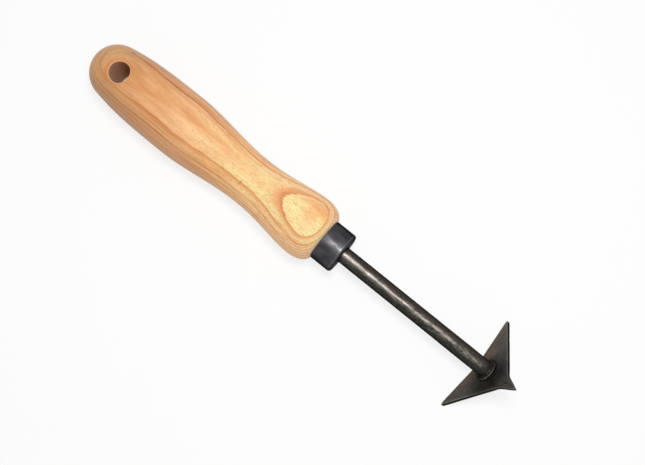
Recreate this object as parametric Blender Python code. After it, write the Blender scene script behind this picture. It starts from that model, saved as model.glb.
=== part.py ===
"""Patio knife: a turned ash handle, a steel ferrule, a forged shaft and a blade with three points.

The tool lies on a table. +X runs along it from the butt of the handle to the blade, +Z is up
and the blade's nose points up. The origin is at the bottom centre of its box. Lengths are in
metres. Stations along the tool are measured from the ferrule's rear edge, where the wood ends.
"""

import math

import bmesh
import bpy
from mathutils import Matrix, Vector

# Fit between pieces that touch
FIT_GAP = 0.0003

# Handle: distances run backwards from the ferrule's rear edge
HANDLE_LENGTH = 0.1385
BULGE_RADIUS = 0.01546
BULGE_DISTANCE = 0.0097
WAIST_RADIUS = 0.0123
WAIST_DISTANCE = 0.0434
GRIP_RADIUS = 0.01588
GRIP_DISTANCE = 0.0854
BUTT_RADIUS = 0.0135
SPIGOT_BEVEL = 0.0006
HANG_HOLE_RADIUS = 0.00515
HANG_HOLE_TO_BUTT = 0.0181

# The flanks on either side of the waist: above 1 the curve leaves the waist more slowly
FRONT_FLANK_EXPONENT = 1.2
REAR_FLANK_EXPONENT = 1.0
# How steeply the handle narrows where it meets the round of the butt
BUTT_JOIN_SLOPE = 0.2

# Ferrule: a cup with its closed face towards the blade
FERRULE_RADIUS = 0.01025
FERRULE_LENGTH = 0.0111
FERRULE_WALL = 0.0015
FERRULE_FACE_WALL = 0.0018
FERRULE_EDGE_RADIUS = 0.0014

# Shaft: round bar with a squared tang behind, and a bend, a collar and a peened tenon in front
ROD_RADIUS = 0.004
ROD_LENGTH = 0.07785
BEND_RADIUS = 0.010
BEND_ANGLE = math.radians(24.0)
NECK_LENGTH = 0.0015
COLLAR_RADIUS = 0.0057
COLLAR_HEIGHT = 0.0009
COLLAR_BEVEL = 0.0004
TANG_LENGTH = 0.056
TANG_TAPER_LENGTH = 0.038
TANG_TIP_HALF_WIDTH = 0.0019
TANG_TIP_BEVEL = 0.0006
TANG_SQUARENESS = 6.0
TENON_RADIUS = 0.003
HEAD_RADIUS = 0.00555
HEAD_RIM_HEIGHT = 0.0005
HEAD_HEIGHT = 0.0013
CENTRE_HOLE_RADIUS = 0.00165
CENTRE_HOLE_DEPTH = 0.0016
CENTRE_CREST_RADIUS = 0.0023

# Blade: sizes lie in its own plane, from the middle of the tenon
BLADE_THICKNESS = 0.002
NOSE_TIP_THICKNESS = 0.0013
NOSE_THINNING_START = 0.012
BLADE_EDGE_BEVEL = 0.0003
NOSE_REACH = 0.0265
NOSE_TIP_RADIUS = 0.0004
NECK_REACH = 0.0163
NECK_HALF_WIDTH = 0.0034
NECK_BLEND = 0.0015
WING_REACH = 0.0248
WING_SETBACK = 0.0143
WING_TIP_RADIUS = 0.0006
NOTCH_SETBACK = 0.011
CROWN_HEIGHT = 0.0009
CROWN_HALF_WIDTH = 0.0044
CROWN_CLEARANCE = 0.0012

# Fineness of the round shapes
HANDLE_SEGMENTS = 40
FERRULE_SEGMENTS = 40
SHAFT_SEGMENTS = 24
ARC_STEPS = 7
FLANK_STEPS = 9
BEND_STEPS = 6
EDGE_RUN = 0.0026
BLADE_RINGS = 4
SHARP_ANGLE = math.radians(40)

# Where things lie along the tool before the shaft is bent
BEND_START = FERRULE_LENGTH + ROD_LENGTH
BEND_END = BEND_START + BEND_RADIUS * BEND_ANGLE
ROD_END = BEND_END + NECK_LENGTH
BLADE_BACK = ROD_END + FIT_GAP
BLADE_FRONT = BLADE_BACK + BLADE_THICKNESS
HEAD_BASE = BLADE_FRONT + FIT_GAP
HEAD_TOP = HEAD_BASE + HEAD_HEIGHT
BORE_RADIUS = ROD_RADIUS + FIT_GAP
# A squared bar's corners reach this many times its half width
CORNER_REACH = 2 ** (0.5 - 1 / TANG_SQUARENESS)


def clear_scene() -> None:
    """Removes every object, so that the file holds only the tool."""
    for obj in list(bpy.data.objects):
        bpy.data.objects.remove(obj)


def principled(name: str, colour: tuple, roughness: float, metallic: float) -> bpy.types.Material:
    """A plain material with one colour.

    Args:
        name: the material's name.
        colour: red, green and blue, each from 0 to 1.
        roughness: 0 for a mirror, 1 for a dull surface.
        metallic: 1 for bare metal, 0 for anything else.

    Returns:
        The new material.
    """
    material = bpy.data.materials.new(name)
    material.use_nodes = True
    shader = material.node_tree.nodes["Principled BSDF"]
    shader.inputs["Base Color"].default_value = (*colour, 1.0)
    shader.inputs["Roughness"].default_value = roughness
    shader.inputs["Metallic"].default_value = metallic
    return material


def finish_piece(
    bm: bmesh.types.BMesh, name: str, material: bpy.types.Material, frame: bpy.types.Object
) -> bpy.types.Object:
    """Turns a bmesh into a named, smoothly shaded object under the tool's frame."""
    bmesh.ops.recalc_face_normals(bm, faces=bm.faces)
    mesh = bpy.data.meshes.new(name)
    bm.to_mesh(mesh)
    bm.free()
    mesh.materials.append(material)
    mesh.shade_smooth()
    mesh.set_sharp_from_angle(angle=SHARP_ANGLE)
    piece = bpy.data.objects.new(name, mesh)
    bpy.context.scene.collection.objects.link(piece)
    piece.parent = frame
    return piece


def turned(profile: list, segments: int, closed: bool) -> bmesh.types.BMesh:
    """Spins a profile of (station, radius) points round the X axis.

    Args:
        profile: the points in order, which start and end on the axis unless it is closed.
        segments: how many flats the round has.
        closed: True for a ring whose last point joins its first.

    Returns:
        A bmesh with one closed body.
    """
    bm = bmesh.new()
    points = [bm.verts.new((station, 0.0, -radius)) for station, radius in profile]
    followers = points[1:] + points[:1] if closed else points[1:]
    edges = [bm.edges.new(pair) for pair in zip(points, followers)]
    bmesh.ops.spin(
        bm,
        geom=points + edges,
        cent=(0, 0, 0),
        axis=(1, 0, 0),
        angle=2 * math.pi,
        steps=segments,
        use_merge=True,
    )
    bmesh.ops.remove_doubles(bm, verts=bm.verts, dist=1e-6)
    return bm


def arc(centre: tuple, radius: float, start: float, end: float, steps: int) -> list:
    """Points on a circle, from one angle to the other, both included."""
    angles = [start + (end - start) * step / steps for step in range(steps + 1)]
    return [(centre[0] + radius * math.cos(a), centre[1] + radius * math.sin(a)) for a in angles]


def ease(t: float, exponent: float) -> float:
    """Rises from 0 to 1 with a level start and end; a higher exponent starts more slowly."""
    u = t**exponent
    return u * u * (3 - 2 * u)


def flank(start: tuple, end: tuple, exponent: float) -> list:
    """Points from the waist out to a swelling, without the waist itself."""
    shares = [step / FLANK_STEPS for step in range(1, FLANK_STEPS + 1)]
    return [
        (
            start[0] + (end[0] - start[0]) * share,
            start[1] + (end[1] - start[1]) * ease(share, exponent),
        )
        for share in shares
    ]


def tang_half_width(station: float) -> float:
    """The squared tang's half width: it tapers from just inside the round bar to the tip."""
    full = ROD_RADIUS / CORNER_REACH
    share = (station + TANG_LENGTH) / TANG_TAPER_LENGTH
    return TANG_TIP_HALF_WIDTH + (full - TANG_TIP_HALF_WIDTH) * share


def bore_profile() -> list:
    """The handle's blind bore, from its end on the axis to its mouth, clear of the tang."""
    tip_reach = tang_half_width(-TANG_LENGTH) * CORNER_REACH + FIT_GAP
    end = -TANG_LENGTH - FIT_GAP
    taper_start = -TANG_LENGTH + TANG_TAPER_LENGTH
    return [(end, 0.0), (end, tip_reach), (-TANG_LENGTH, tip_reach), (taper_start, BORE_RADIUS)]


def spigot_profile() -> list:
    """The stepped front of the handle, from the bore's mouth to the face behind the ferrule."""
    front = FERRULE_LENGTH - FERRULE_FACE_WALL - FIT_GAP
    radius = FERRULE_RADIUS - FERRULE_WALL - FIT_GAP
    return [
        (front, BORE_RADIUS),
        (front, radius - SPIGOT_BEVEL),
        (front - SPIGOT_BEVEL, radius),
        (-FIT_GAP, radius),
    ]


def shoulder_profile() -> list:
    """A quarter of an ellipse, from flush with the ferrule's outside up to the front bulge."""
    length = BULGE_DISTANCE - FIT_GAP
    quarter = arc((0.0, 0.0), 1.0, 0.0, math.pi / 2, ARC_STEPS)
    return [
        (length * x - BULGE_DISTANCE, FERRULE_RADIUS + (BULGE_RADIUS - FERRULE_RADIUS) * y)
        for x, y in quarter
    ]


def butt_profile() -> list:
    """From the fullest part of the grip to the end of the butt, without the first point.

    A cubic curve leaves the grip level and meets the round of the butt at its own slope.
    """
    join_angle = math.atan(BUTT_JOIN_SLOPE)
    centre = (-HANDLE_LENGTH + BUTT_RADIUS, 0.0)
    round_end = arc(centre, BUTT_RADIUS, math.pi / 2 + join_angle, math.pi, ARC_STEPS)
    round_end[-1] = (-HANDLE_LENGTH, 0.0)
    join_station, join_radius = round_end[0]
    length = -GRIP_DISTANCE - join_station
    taper = []
    for step in range(1, FLANK_STEPS):
        t = step / FLANK_STEPS
        level = (1 + 2 * t) * (1 - t) ** 2 * GRIP_RADIUS + t * t * (3 - 2 * t) * join_radius
        taper.append((-GRIP_DISTANCE - length * t, level + t * t * (1 - t) * length * BUTT_JOIN_SLOPE))
    return taper + round_end


def make_handle(frame: bpy.types.Object) -> bpy.types.Object:
    """The turned ash handle with its bore, its spigot and its hang hole."""
    waist = (-WAIST_DISTANCE, WAIST_RADIUS)
    front_flank = flank(waist, (-BULGE_DISTANCE, BULGE_RADIUS), FRONT_FLANK_EXPONENT)
    rear_flank = flank(waist, (-GRIP_DISTANCE, GRIP_RADIUS), REAR_FLANK_EXPONENT)
    profile = bore_profile() + spigot_profile() + shoulder_profile()
    profile += front_flank[-2::-1] + [waist] + rear_flank + butt_profile()
    wood = principled("ash_wood", (0.76, 0.47, 0.23), 0.5, 0.0)
    handle = finish_piece(turned(profile, HANDLE_SEGMENTS, closed=False), "handle", wood, frame)

    cutter_mesh = bpy.data.meshes.new("hang_hole_cutter")
    bm = bmesh.new()
    bmesh.ops.create_cone(
        bm,
        cap_ends=True,
        segments=HANDLE_SEGMENTS,
        radius1=HANG_HOLE_RADIUS,
        radius2=HANG_HOLE_RADIUS,
        depth=4 * GRIP_RADIUS,
    )
    bm.to_mesh(cutter_mesh)
    bm.free()
    cutter = bpy.data.objects.new("hang_hole_cutter", cutter_mesh)
    bpy.context.scene.collection.objects.link(cutter)
    cutter.parent = frame
    cutter.location = (-HANDLE_LENGTH + HANG_HOLE_TO_BUTT, 0, 0)
    cutter.hide_render = True
    cutter.display_type = "WIRE"
    drill = handle.modifiers.new("hang_hole", "BOOLEAN")
    drill.operation = "DIFFERENCE"
    drill.object = cutter
    return handle


def make_ferrule(frame: bpy.types.Object) -> bpy.types.Object:
    """The steel cup round the spigot, open behind and closed in front but for the rod's hole."""
    corner = (FERRULE_LENGTH - FERRULE_EDGE_RADIUS, FERRULE_RADIUS - FERRULE_EDGE_RADIUS)
    rounded_edge = arc(corner, FERRULE_EDGE_RADIUS, math.pi / 2, 0.0, ARC_STEPS - 2)
    inside = FERRULE_LENGTH - FERRULE_FACE_WALL
    profile = [(0.0, FERRULE_RADIUS - FERRULE_WALL), (0.0, FERRULE_RADIUS)] + rounded_edge
    profile += [
        (FERRULE_LENGTH, BORE_RADIUS),
        (inside, BORE_RADIUS),
        (inside, FERRULE_RADIUS - FERRULE_WALL),
    ]
    steel = principled("black_steel", (0.045, 0.045, 0.05), 0.38, 1.0)
    return finish_piece(turned(profile, FERRULE_SEGMENTS, closed=True), "ferrule", steel, frame)


def shaft_profile() -> list:
    """The straight bar before it is bent: tang, rod, collar, tenon and peened head with its hole."""
    tang_end = -TANG_LENGTH + TANG_TAPER_LENGTH
    tip_half = TANG_TIP_HALF_WIDTH
    tang = [(-TANG_LENGTH, 0.0), (-TANG_LENGTH, tip_half - TANG_TIP_BEVEL)]
    tang += [(-TANG_LENGTH + TANG_TIP_BEVEL, tang_half_width(-TANG_LENGTH + TANG_TIP_BEVEL))]
    tang += [(tang_end - ROD_RADIUS, tang_half_width(tang_end - ROD_RADIUS)), (tang_end, ROD_RADIUS)]
    steps = range(BEND_STEPS + 1)
    rod = [(BEND_START + (BEND_END - BEND_START) * step / BEND_STEPS, ROD_RADIUS) for step in steps]
    collar_back = ROD_END - COLLAR_HEIGHT
    rod += [
        (collar_back, ROD_RADIUS),
        (collar_back, COLLAR_RADIUS - COLLAR_BEVEL),
        (collar_back + COLLAR_BEVEL, COLLAR_RADIUS),
        (ROD_END, COLLAR_RADIUS),
        (ROD_END, TENON_RADIUS),
    ]
    dome = []
    for step in range(ARC_STEPS - 1):
        share = step / (ARC_STEPS - 1)
        rise = math.sin(share * math.pi / 2)
        radius = HEAD_RADIUS + (CENTRE_CREST_RADIUS - HEAD_RADIUS) * share
        dome.append((HEAD_BASE + HEAD_RIM_HEIGHT + (HEAD_HEIGHT - HEAD_RIM_HEIGHT) * rise, radius))
    head = [(HEAD_BASE, TENON_RADIUS), (HEAD_BASE, HEAD_RADIUS)] + dome
    head += [
        (HEAD_TOP, CENTRE_CREST_RADIUS),
        (HEAD_TOP, CENTRE_HOLE_RADIUS),
        (HEAD_TOP - CENTRE_HOLE_DEPTH, CENTRE_HOLE_RADIUS),
        (HEAD_TOP - CENTRE_HOLE_DEPTH - CENTRE_HOLE_RADIUS / 2, 0.0),
    ]
    return tang + rod + head


def squared(point: Vector) -> Vector:
    """Draws a point of the tang out to a square with round corners, and leaves the rod round."""
    tang_end = -TANG_LENGTH + TANG_TAPER_LENGTH
    reach = math.hypot(point.y, point.z)
    if point.x > tang_end - ROD_RADIUS / 2 or reach == 0:
        return point
    across = abs(point.y / reach) ** TANG_SQUARENESS + abs(point.z / reach) ** TANG_SQUARENESS
    growth = across ** (-1 / TANG_SQUARENESS)
    return Vector((point.x, point.y * growth, point.z * growth))


def bent(point: Vector) -> Vector:
    """Carries a point of the straight bar round the bend, whose centre lies below the rod."""
    angle = min(max(point.x - BEND_START, 0.0) / BEND_RADIUS, BEND_ANGLE)
    if angle == 0:
        return point
    reach = BEND_RADIUS + point.z
    beyond = max(point.x - BEND_END, 0.0)
    return Vector(
        (
            BEND_START + reach * math.sin(angle) + beyond * math.cos(angle),
            point.y,
            reach * math.cos(angle) - BEND_RADIUS - beyond * math.sin(angle),
        )
    )


def make_shaft(frame: bpy.types.Object) -> bpy.types.Object:
    """The forged bar: squared tang, round rod, bend, collar, tenon and peened head."""
    bm = turned(shaft_profile(), SHAFT_SEGMENTS, closed=False)
    for vert in bm.verts:
        vert.co = bent(squared(vert.co))
    steel = principled("forged_steel", (0.10, 0.09, 0.08), 0.42, 1.0)
    return finish_piece(bm, "shaft", steel, frame)


def tangent_angle(centre: Vector, radius: float, point: Vector, side: int) -> float:
    """The angle on a circle where a line from a point outside it touches, on one side or the other."""
    away = point - centre
    return math.atan2(away.y, away.x) + side * math.acos(radius / away.length)


def straight_run(start: Vector, end: Vector) -> list:
    """Points between two ends, without the ends, no further apart than the edge run."""
    count = math.ceil((end - start).length / EDGE_RUN)
    return [start.lerp(end, step / count) for step in range(1, count)]


def blade_half_outline() -> list:
    """The right half of the star, from the nose's tip round the wing to the notch behind."""
    nose = Vector((0.0, NOSE_REACH - NOSE_TIP_RADIUS))
    neck = Vector((NECK_HALF_WIDTH, NECK_REACH))
    wing = Vector((WING_REACH - WING_TIP_RADIUS, -WING_SETBACK))
    notch = Vector((0.0, -NOTCH_SETBACK))

    nose_side = tangent_angle(nose, NOSE_TIP_RADIUS, neck, 1)
    nose_arc = [Vector(p) for p in arc(nose, NOSE_TIP_RADIUS, math.pi / 2, nose_side, 3)]
    wing_front = tangent_angle(wing, WING_TIP_RADIUS, neck, -1)
    wing_back = tangent_angle(wing, WING_TIP_RADIUS, notch, 1) - 2 * math.pi
    wing_arc = [Vector(p) for p in arc(wing, WING_TIP_RADIUS, wing_front, wing_back, 4)]

    into_neck = neck + (nose_arc[-1] - neck).normalized() * NECK_BLEND
    out_of_neck = neck + (wing_arc[0] - neck).normalized() * NECK_BLEND
    neck_curve = [into_neck, (into_neck + 2 * neck + out_of_neck) / 4, out_of_neck]
    outline = nose_arc + straight_run(nose_arc[-1], into_neck) + neck_curve
    outline += straight_run(out_of_neck, wing_arc[0]) + wing_arc
    return outline + straight_run(wing_arc[-1], notch) + [notch]


def crown(across: float, along: float) -> float:
    """How far the nose is pressed forward: a rounded ridge that fades out before the head."""
    start = HEAD_RADIUS + CROWN_CLEARANCE
    share = min(max((along - start) / (NECK_REACH - start), 0.0), 1.0)
    spread = min(abs(across) / CROWN_HALF_WIDTH, 1.0)
    return CROWN_HEIGHT * ease(share, 1.0) * (1 - ease(spread, 1.0))


def thickness_share(along: float) -> float:
    """The plate's thickness over its full thickness: the nose is drawn out thinner to its tip."""
    share = (along - NOSE_THINNING_START) / (NOSE_REACH - NOSE_THINNING_START)
    return 1 - (1 - NOSE_TIP_THICKNESS / BLADE_THICKNESS) * min(max(share, 0.0), 1.0)


def make_blade(frame: bpy.types.Object) -> bpy.types.Object:
    """The star-shaped plate round the tenon.

    Rings of points run out from the hole over the back face, round the bevelled edge and in
    again over the front face, and each is a step between the hole and the outline.
    """
    right = blade_half_outline()
    outline = right + [Vector((-p.x, p.y)) for p in right[-2:0:-1]]
    hole_radius = TENON_RADIUS + FIT_GAP
    hole = [p.normalized() * hole_radius for p in outline]
    drawn_in = 1 - BLADE_EDGE_BEVEL / min(p.length for p in outline)
    face_edge = [p * drawn_in for p in outline]
    shares = [step / BLADE_RINGS for step in range(BLADE_RINGS + 1)]
    face = [[h.lerp(p, share) for h, p in zip(hole, face_edge)] for share in shares]
    rings = [(0.0, ring) for ring in face]
    rings += [(BLADE_EDGE_BEVEL, outline), (BLADE_THICKNESS - BLADE_EDGE_BEVEL, outline)]
    rings += [(BLADE_THICKNESS, ring) for ring in reversed(face)]

    bm = bmesh.new()
    grid = [
        [
            bm.verts.new((depth * thickness_share(p.y) + crown(p.x, p.y), p.x, p.y))
            for p in ring
        ]
        for depth, ring in rings
    ]
    for inner, outer in zip(grid, grid[1:] + grid[:1]):
        for index in range(len(outline)):
            bm.faces.new((inner[index - 1], inner[index], outer[index], outer[index - 1]))
    steel = principled("blade_steel", (0.13, 0.12, 0.115), 0.45, 1.0)
    blade = finish_piece(bm, "blade", steel, frame)
    blade.location = bent(Vector((BLADE_BACK, 0.0, 0.0)))
    blade.rotation_euler = (0.0, BEND_ANGLE, 0.0)
    return blade


def stand_on_origin(frame: bpy.types.Object, pieces: list) -> None:
    """Moves the frame so that the origin is at the bottom centre of the tool's box."""
    bpy.context.view_layer.update()
    graph = bpy.context.evaluated_depsgraph_get()
    corners = []
    for piece in pieces:
        evaluated = piece.evaluated_get(graph)
        corners += [evaluated.matrix_world @ vert.co for vert in evaluated.data.vertices]
    low = Vector([min(corner[axis] for corner in corners) for axis in range(3)])
    high = Vector([max(corner[axis] for corner in corners) for axis in range(3)])
    middle = (low + high) / 2
    frame.matrix_world = Matrix.Translation((-middle.x, -middle.y, -low.z))
    bpy.context.view_layer.update()


def main() -> None:
    """Builds the tool."""
    clear_scene()
    frame = bpy.data.objects.new("tool_frame", None)
    bpy.context.scene.collection.objects.link(frame)
    pieces = [make_handle(frame), make_ferrule(frame), make_shaft(frame), make_blade(frame)]
    stand_on_origin(frame, pieces)


main()
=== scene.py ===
"""Patio knife on a white table, seen from above.

A turned ash handle, a black steel ferrule, a forged shaft with a peened head, and a forged
blade with three points. Each piece stands for the CAD node of the same name and keeps its
sizes. Lengths are in metres. Stations run along the tool's axis from the ferrule's rear edge.
"""

import logging
import math
from dataclasses import dataclass
from enum import Enum
from typing import TypeAlias

import bmesh
import bpy
import numpy as np
from mathutils import Matrix, Vector


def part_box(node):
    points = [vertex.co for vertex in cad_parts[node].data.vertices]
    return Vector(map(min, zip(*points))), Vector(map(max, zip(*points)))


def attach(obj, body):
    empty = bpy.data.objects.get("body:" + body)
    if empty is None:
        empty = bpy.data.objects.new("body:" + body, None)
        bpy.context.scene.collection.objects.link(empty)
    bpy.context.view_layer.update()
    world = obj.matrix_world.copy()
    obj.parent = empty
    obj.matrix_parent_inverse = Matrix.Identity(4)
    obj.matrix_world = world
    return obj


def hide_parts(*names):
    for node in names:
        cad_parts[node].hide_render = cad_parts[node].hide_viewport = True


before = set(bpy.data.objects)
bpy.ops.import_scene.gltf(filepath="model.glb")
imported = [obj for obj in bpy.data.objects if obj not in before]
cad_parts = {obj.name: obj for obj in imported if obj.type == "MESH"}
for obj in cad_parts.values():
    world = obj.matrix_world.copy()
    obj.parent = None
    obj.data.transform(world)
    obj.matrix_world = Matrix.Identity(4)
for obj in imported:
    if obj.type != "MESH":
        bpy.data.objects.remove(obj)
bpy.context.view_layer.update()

LOG = logging.getLogger("patio_knife")
MM = 0.001
FIT_GAP = 0.3 * MM
SHARP = math.radians(40)
PICTURE_WIDTH = 645
SENSOR_WIDTH = 36.0
# The colour mix node's sockets: its share, its two colours and its result
MIX_SHARE, MIX_FIRST, MIX_SECOND, MIX_RESULT = 0, 6, 7, 2
# A pattern's scale that is too large for it to change along that axis
ENDLESS = 1e6
# How many boxes a rolling noise has along each axis before it repeats
NOISE_BOXES = 32

# Sides of a box in metres, places and values on a ramp, and a pattern's lowest and highest
# value with the two that they turn into
Size: TypeAlias = tuple[float, float, float]
Stops: TypeAlias = tuple[tuple[float, float | str], ...]
Span: TypeAlias = tuple[float, float, float, float]
Socket: TypeAlias = bpy.types.NodeSocket
Tree: TypeAlias = bpy.types.NodeTree


class HoleEnd(Enum):
    """The two mouths of the hang hole: which way each one looks along Z."""

    TOP = 1
    BOTTOM = -1


class Layer(Enum):
    """How a colour lies on the one under it: over it, or as a tint that multiplies it."""

    COVER = "MIX"
    TINT = "MULTIPLY"


def linear(hex_colour: str) -> tuple[float, float, float, float]:
    """Turns an sRGB hex colour into the linear colour that a shader takes.

    Args:
        hex_colour: six hex digits, such as "c49772".

    Returns:
        Linear red, green and blue, and an alpha of 1.
    """
    codes = np.array([int(hex_colour[i : i + 2], 16) for i in (0, 2, 4)]) / 255
    values = np.where(codes <= 0.04045, codes / 12.92, ((codes + 0.055) / 1.055) ** 2.4)
    return (*values.tolist(), 1.0)


def ease(t: np.ndarray) -> np.ndarray:
    """Rises from 0 to 1 with level ends, by 3t² - 2t³."""
    t = np.clip(t, 0.0, 1.0)
    return t * t * (3 - 2 * t)


def bell(distance: np.ndarray, width: np.ndarray | float) -> np.ndarray:
    """Falls off from 1 on both sides, by e^-(distance/width)²."""
    return np.exp(-((distance / width) ** 2))


def rolling_noise(points: np.ndarray, cell: Size | float, seed: int) -> np.ndarray:
    """Smooth random heights from -1 to 1.

    Boxes of one size fill space, each corner has a random height, and a point blends the
    heights of its box's eight corners by 3t² - 2t³.

    Args:
        points: positions, with x, y and z along the last axis.
        cell: the boxes' side, or their sides along x, y and z.
        seed: picks the random heights.

    Returns:
        One height for each point.
    """
    table = np.random.default_rng(seed).uniform(-1, 1, (NOISE_BOXES,) * 3)
    scaled = points / np.array(cell)
    corner = np.floor(scaled).astype(int)
    share = ease(scaled - corner)
    total = np.zeros(points.shape[:-1])
    for step in np.ndindex(2, 2, 2):
        weight = np.where(np.array(step) == 1, share, 1 - share).prod(axis=-1)
        at = (corner + np.array(step)) % NOISE_BOXES
        total += weight * table[at[..., 0], at[..., 1], at[..., 2]]
    return total


def rounded(corners: list[tuple[float, float]], radius: float, steps: int = 4) -> np.ndarray:
    """Rounds the inner corners of a line of points.

    Each corner gives way to a curve that starts and ends `radius` away along its two sides,
    the weighted mean of start, corner and end by (1-t)², 2t(1-t) and t².

    Args:
        corners: the points, of which the first and last stay.
        radius: how far the curve reaches along each side.
        steps: how many pieces each curve has.

    Returns:
        The points of the rounded line.
    """
    line = np.array(corners, float)
    t = np.linspace(0, 1, steps + 1)[:, None]
    parts = [line[:1]]
    for before, corner, after in zip(line[:-2], line[1:-1], line[2:]):
        legs = np.array([before - corner, after - corner])
        reach = np.linalg.norm(legs, axis=1)
        start, end = corner + legs * (np.minimum(radius, reach / 2) / reach)[:, None]
        parts.append((1 - t) ** 2 * start + 2 * t * (1 - t) * corner + t * t * end)
    return np.vstack(parts + [line[-1:]])


def spaced(line: np.ndarray, step: float, keep_corners: bool = True) -> np.ndarray:
    """Puts points along a line so that none are further apart than one step.

    Args:
        line: the points of the line.
        step: the longest gap.
        keep_corners: True keeps every given point, False spaces the whole line evenly.

    Returns:
        The new points, measured out by distance along the line.
    """
    gaps = np.linalg.norm(np.diff(line, axis=0), axis=1)
    along = np.concatenate([[0.0], np.cumsum(gaps)])
    if keep_corners:
        counts = np.maximum(np.ceil(gaps / step).astype(int), 1)
        runs = [np.linspace(a, b, n, endpoint=False) for a, b, n in zip(along, along[1:], counts)]
        at = np.concatenate(runs + [along[-1:]])
    else:
        at = np.linspace(0, along[-1], math.ceil(along[-1] / step) + 1)
    return np.stack([np.interp(at, along, line[:, k]) for k in range(line.shape[1])], axis=1)


def turned(profile: np.ndarray, segments: int) -> np.ndarray:
    """Carries a profile of (station, radius) round the tool's axis.

    Point (i, j) lies at the profile's station i, at its radius times sine and cosine of an
    angle j that starts straight up and goes towards +Y.

    Args:
        profile: station and radius of each point.
        segments: how many points go round.

    Returns:
        Points with shape (profile, segments, 3).
    """
    angle = np.arange(segments) * 2 * np.pi / segments
    station, radius = profile[:, :1], profile[:, 1:]
    return np.stack(
        [station + 0 * angle, radius * np.sin(angle), radius * np.cos(angle)], axis=-1
    )


def net(index: np.ndarray, rows_close: bool = False) -> np.ndarray:
    """The quads between the neighbours of a grid whose columns go all the way round.

    Args:
        index: each grid point's number in the mesh.
        rows_close: True where the last row also joins the first.

    Returns:
        Four point numbers for each quad.
    """
    index = np.hstack([index, index[:, :1]])
    if rows_close:
        index = np.vstack([index, index[:1]])
    corners = [index[:-1, :-1], index[:-1, 1:], index[1:, 1:], index[1:, :-1]]
    return np.stack(corners, axis=-1).reshape(-1, 4)


class Shell:
    """A closed mesh in the making: blocks of points, quads between them, and closed poles."""

    def __init__(self) -> None:
        """Starts with nothing in it."""
        self.blocks: list[np.ndarray] = []
        self.quads: list[np.ndarray] = []
        self.triangles: list[np.ndarray] = []
        self.count = 0

    def add(self, points: np.ndarray) -> np.ndarray:
        """Adds a block of points.

        Args:
            points: positions, with x, y and z along the last axis.

        Returns:
            The points' numbers in the mesh, in the block's own shape.
        """
        shape = points.shape[:-1]
        size = int(np.prod(shape))
        self.blocks.append(points.reshape(-1, 3))
        self.count += size
        return np.arange(self.count - size, self.count).reshape(shape)

    def close(self, ring: np.ndarray, pole: tuple[float, float, float]) -> None:
        """Closes a ring of points with a fan of triangles to one point on the axis.

        Args:
            ring: the numbers of the ring's points, in order.
            pole: the point that the fan meets in.
        """
        tip = self.add(np.array([pole]))
        fan = [ring, np.roll(ring, -1), np.broadcast_to(tip, ring.shape)]
        self.triangles.append(np.stack(fan, axis=-1))

    @property
    def points(self) -> np.ndarray:
        """Every point so far, in the order of their numbers."""
        return np.concatenate(self.blocks)

    def piece(self, name: str, axis: "ToolAxis") -> bpy.types.Object:
        """Makes the object, without points that no face uses, and with faces turned outwards.

        Args:
            name: the piece's name.
            axis: where the tool lies.

        Returns:
            The new object, at the origin.
        """
        quads = np.concatenate(self.quads)
        triangles = np.concatenate([np.empty((0, 3), int), *self.triangles])
        corners = np.concatenate([quads.ravel(), triangles.ravel()])
        self.used, corners = np.unique(corners, return_inverse=True)
        points = axis.placed(self.points[self.used])
        sizes = np.repeat([4, 3], [len(quads), len(triangles)])

        mesh = bpy.data.meshes.new(name)
        mesh.vertices.add(len(points))
        mesh.vertices.foreach_set("co", points.astype(np.float32).ravel())
        mesh.loops.add(len(corners))
        mesh.loops.foreach_set("vertex_index", corners.astype(np.int32).ravel())
        mesh.polygons.add(len(sizes))
        mesh.polygons.foreach_set("loop_start", (np.cumsum(sizes) - sizes).astype(np.int32))
        mesh.update(calc_edges=True)
        bm = bmesh.new()
        bm.from_mesh(mesh)
        bmesh.ops.recalc_face_normals(bm, faces=bm.faces)
        bm.to_mesh(mesh)
        bm.free()
        mesh.shade_smooth()
        mesh.set_sharp_from_angle(angle=SHARP)
        made = bpy.data.objects.new(name, mesh)
        bpy.context.scene.collection.objects.link(made)
        return made

    def write(self, made: bpy.types.Object, name: str, values: np.ndarray) -> None:
        """Stores one number for each point of the finished piece, for its material to read.

        Args:
            made: the finished piece.
            name: what the material calls the number.
            values: one for each point, in the order of the points' numbers.
        """
        layer = made.data.attributes.new(name, "FLOAT", "POINT")
        full = np.zeros(self.count)
        full[: values.size] = values.ravel()
        layer.data.foreach_set("value", full[self.used].astype(np.float32))


@dataclass(frozen=True)
class ToolAxis:
    """Where the tool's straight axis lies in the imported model."""

    start: float
    height: float

    @classmethod
    def from_ferrule(cls) -> "ToolAxis":
        """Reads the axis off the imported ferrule, which is round about it."""
        low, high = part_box("ferrule")
        return cls(low.x, (low.z + high.z) / 2)

    def placed(self, points: np.ndarray) -> np.ndarray:
        """Moves points from the tool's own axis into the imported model's frame."""
        return points + np.array([self.start, 0.0, self.height])


def feed(tree: Tree, node: bpy.types.Node, feeds: dict | tuple) -> None:
    """Sets or links the inputs of a shader node.

    Args:
        tree: the material's node tree.
        node: the node that is fed.
        feeds: what goes into the inputs, in order, or by name or number. Each is a value, a
            hex colour, or the output that feeds it.
    """
    for name, value in feeds.items() if isinstance(feeds, dict) else enumerate(feeds):
        if isinstance(value, bpy.types.NodeSocket):
            tree.links.new(value, node.inputs[name])
        else:
            node.inputs[name].default_value = linear(value) if isinstance(value, str) else value


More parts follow.
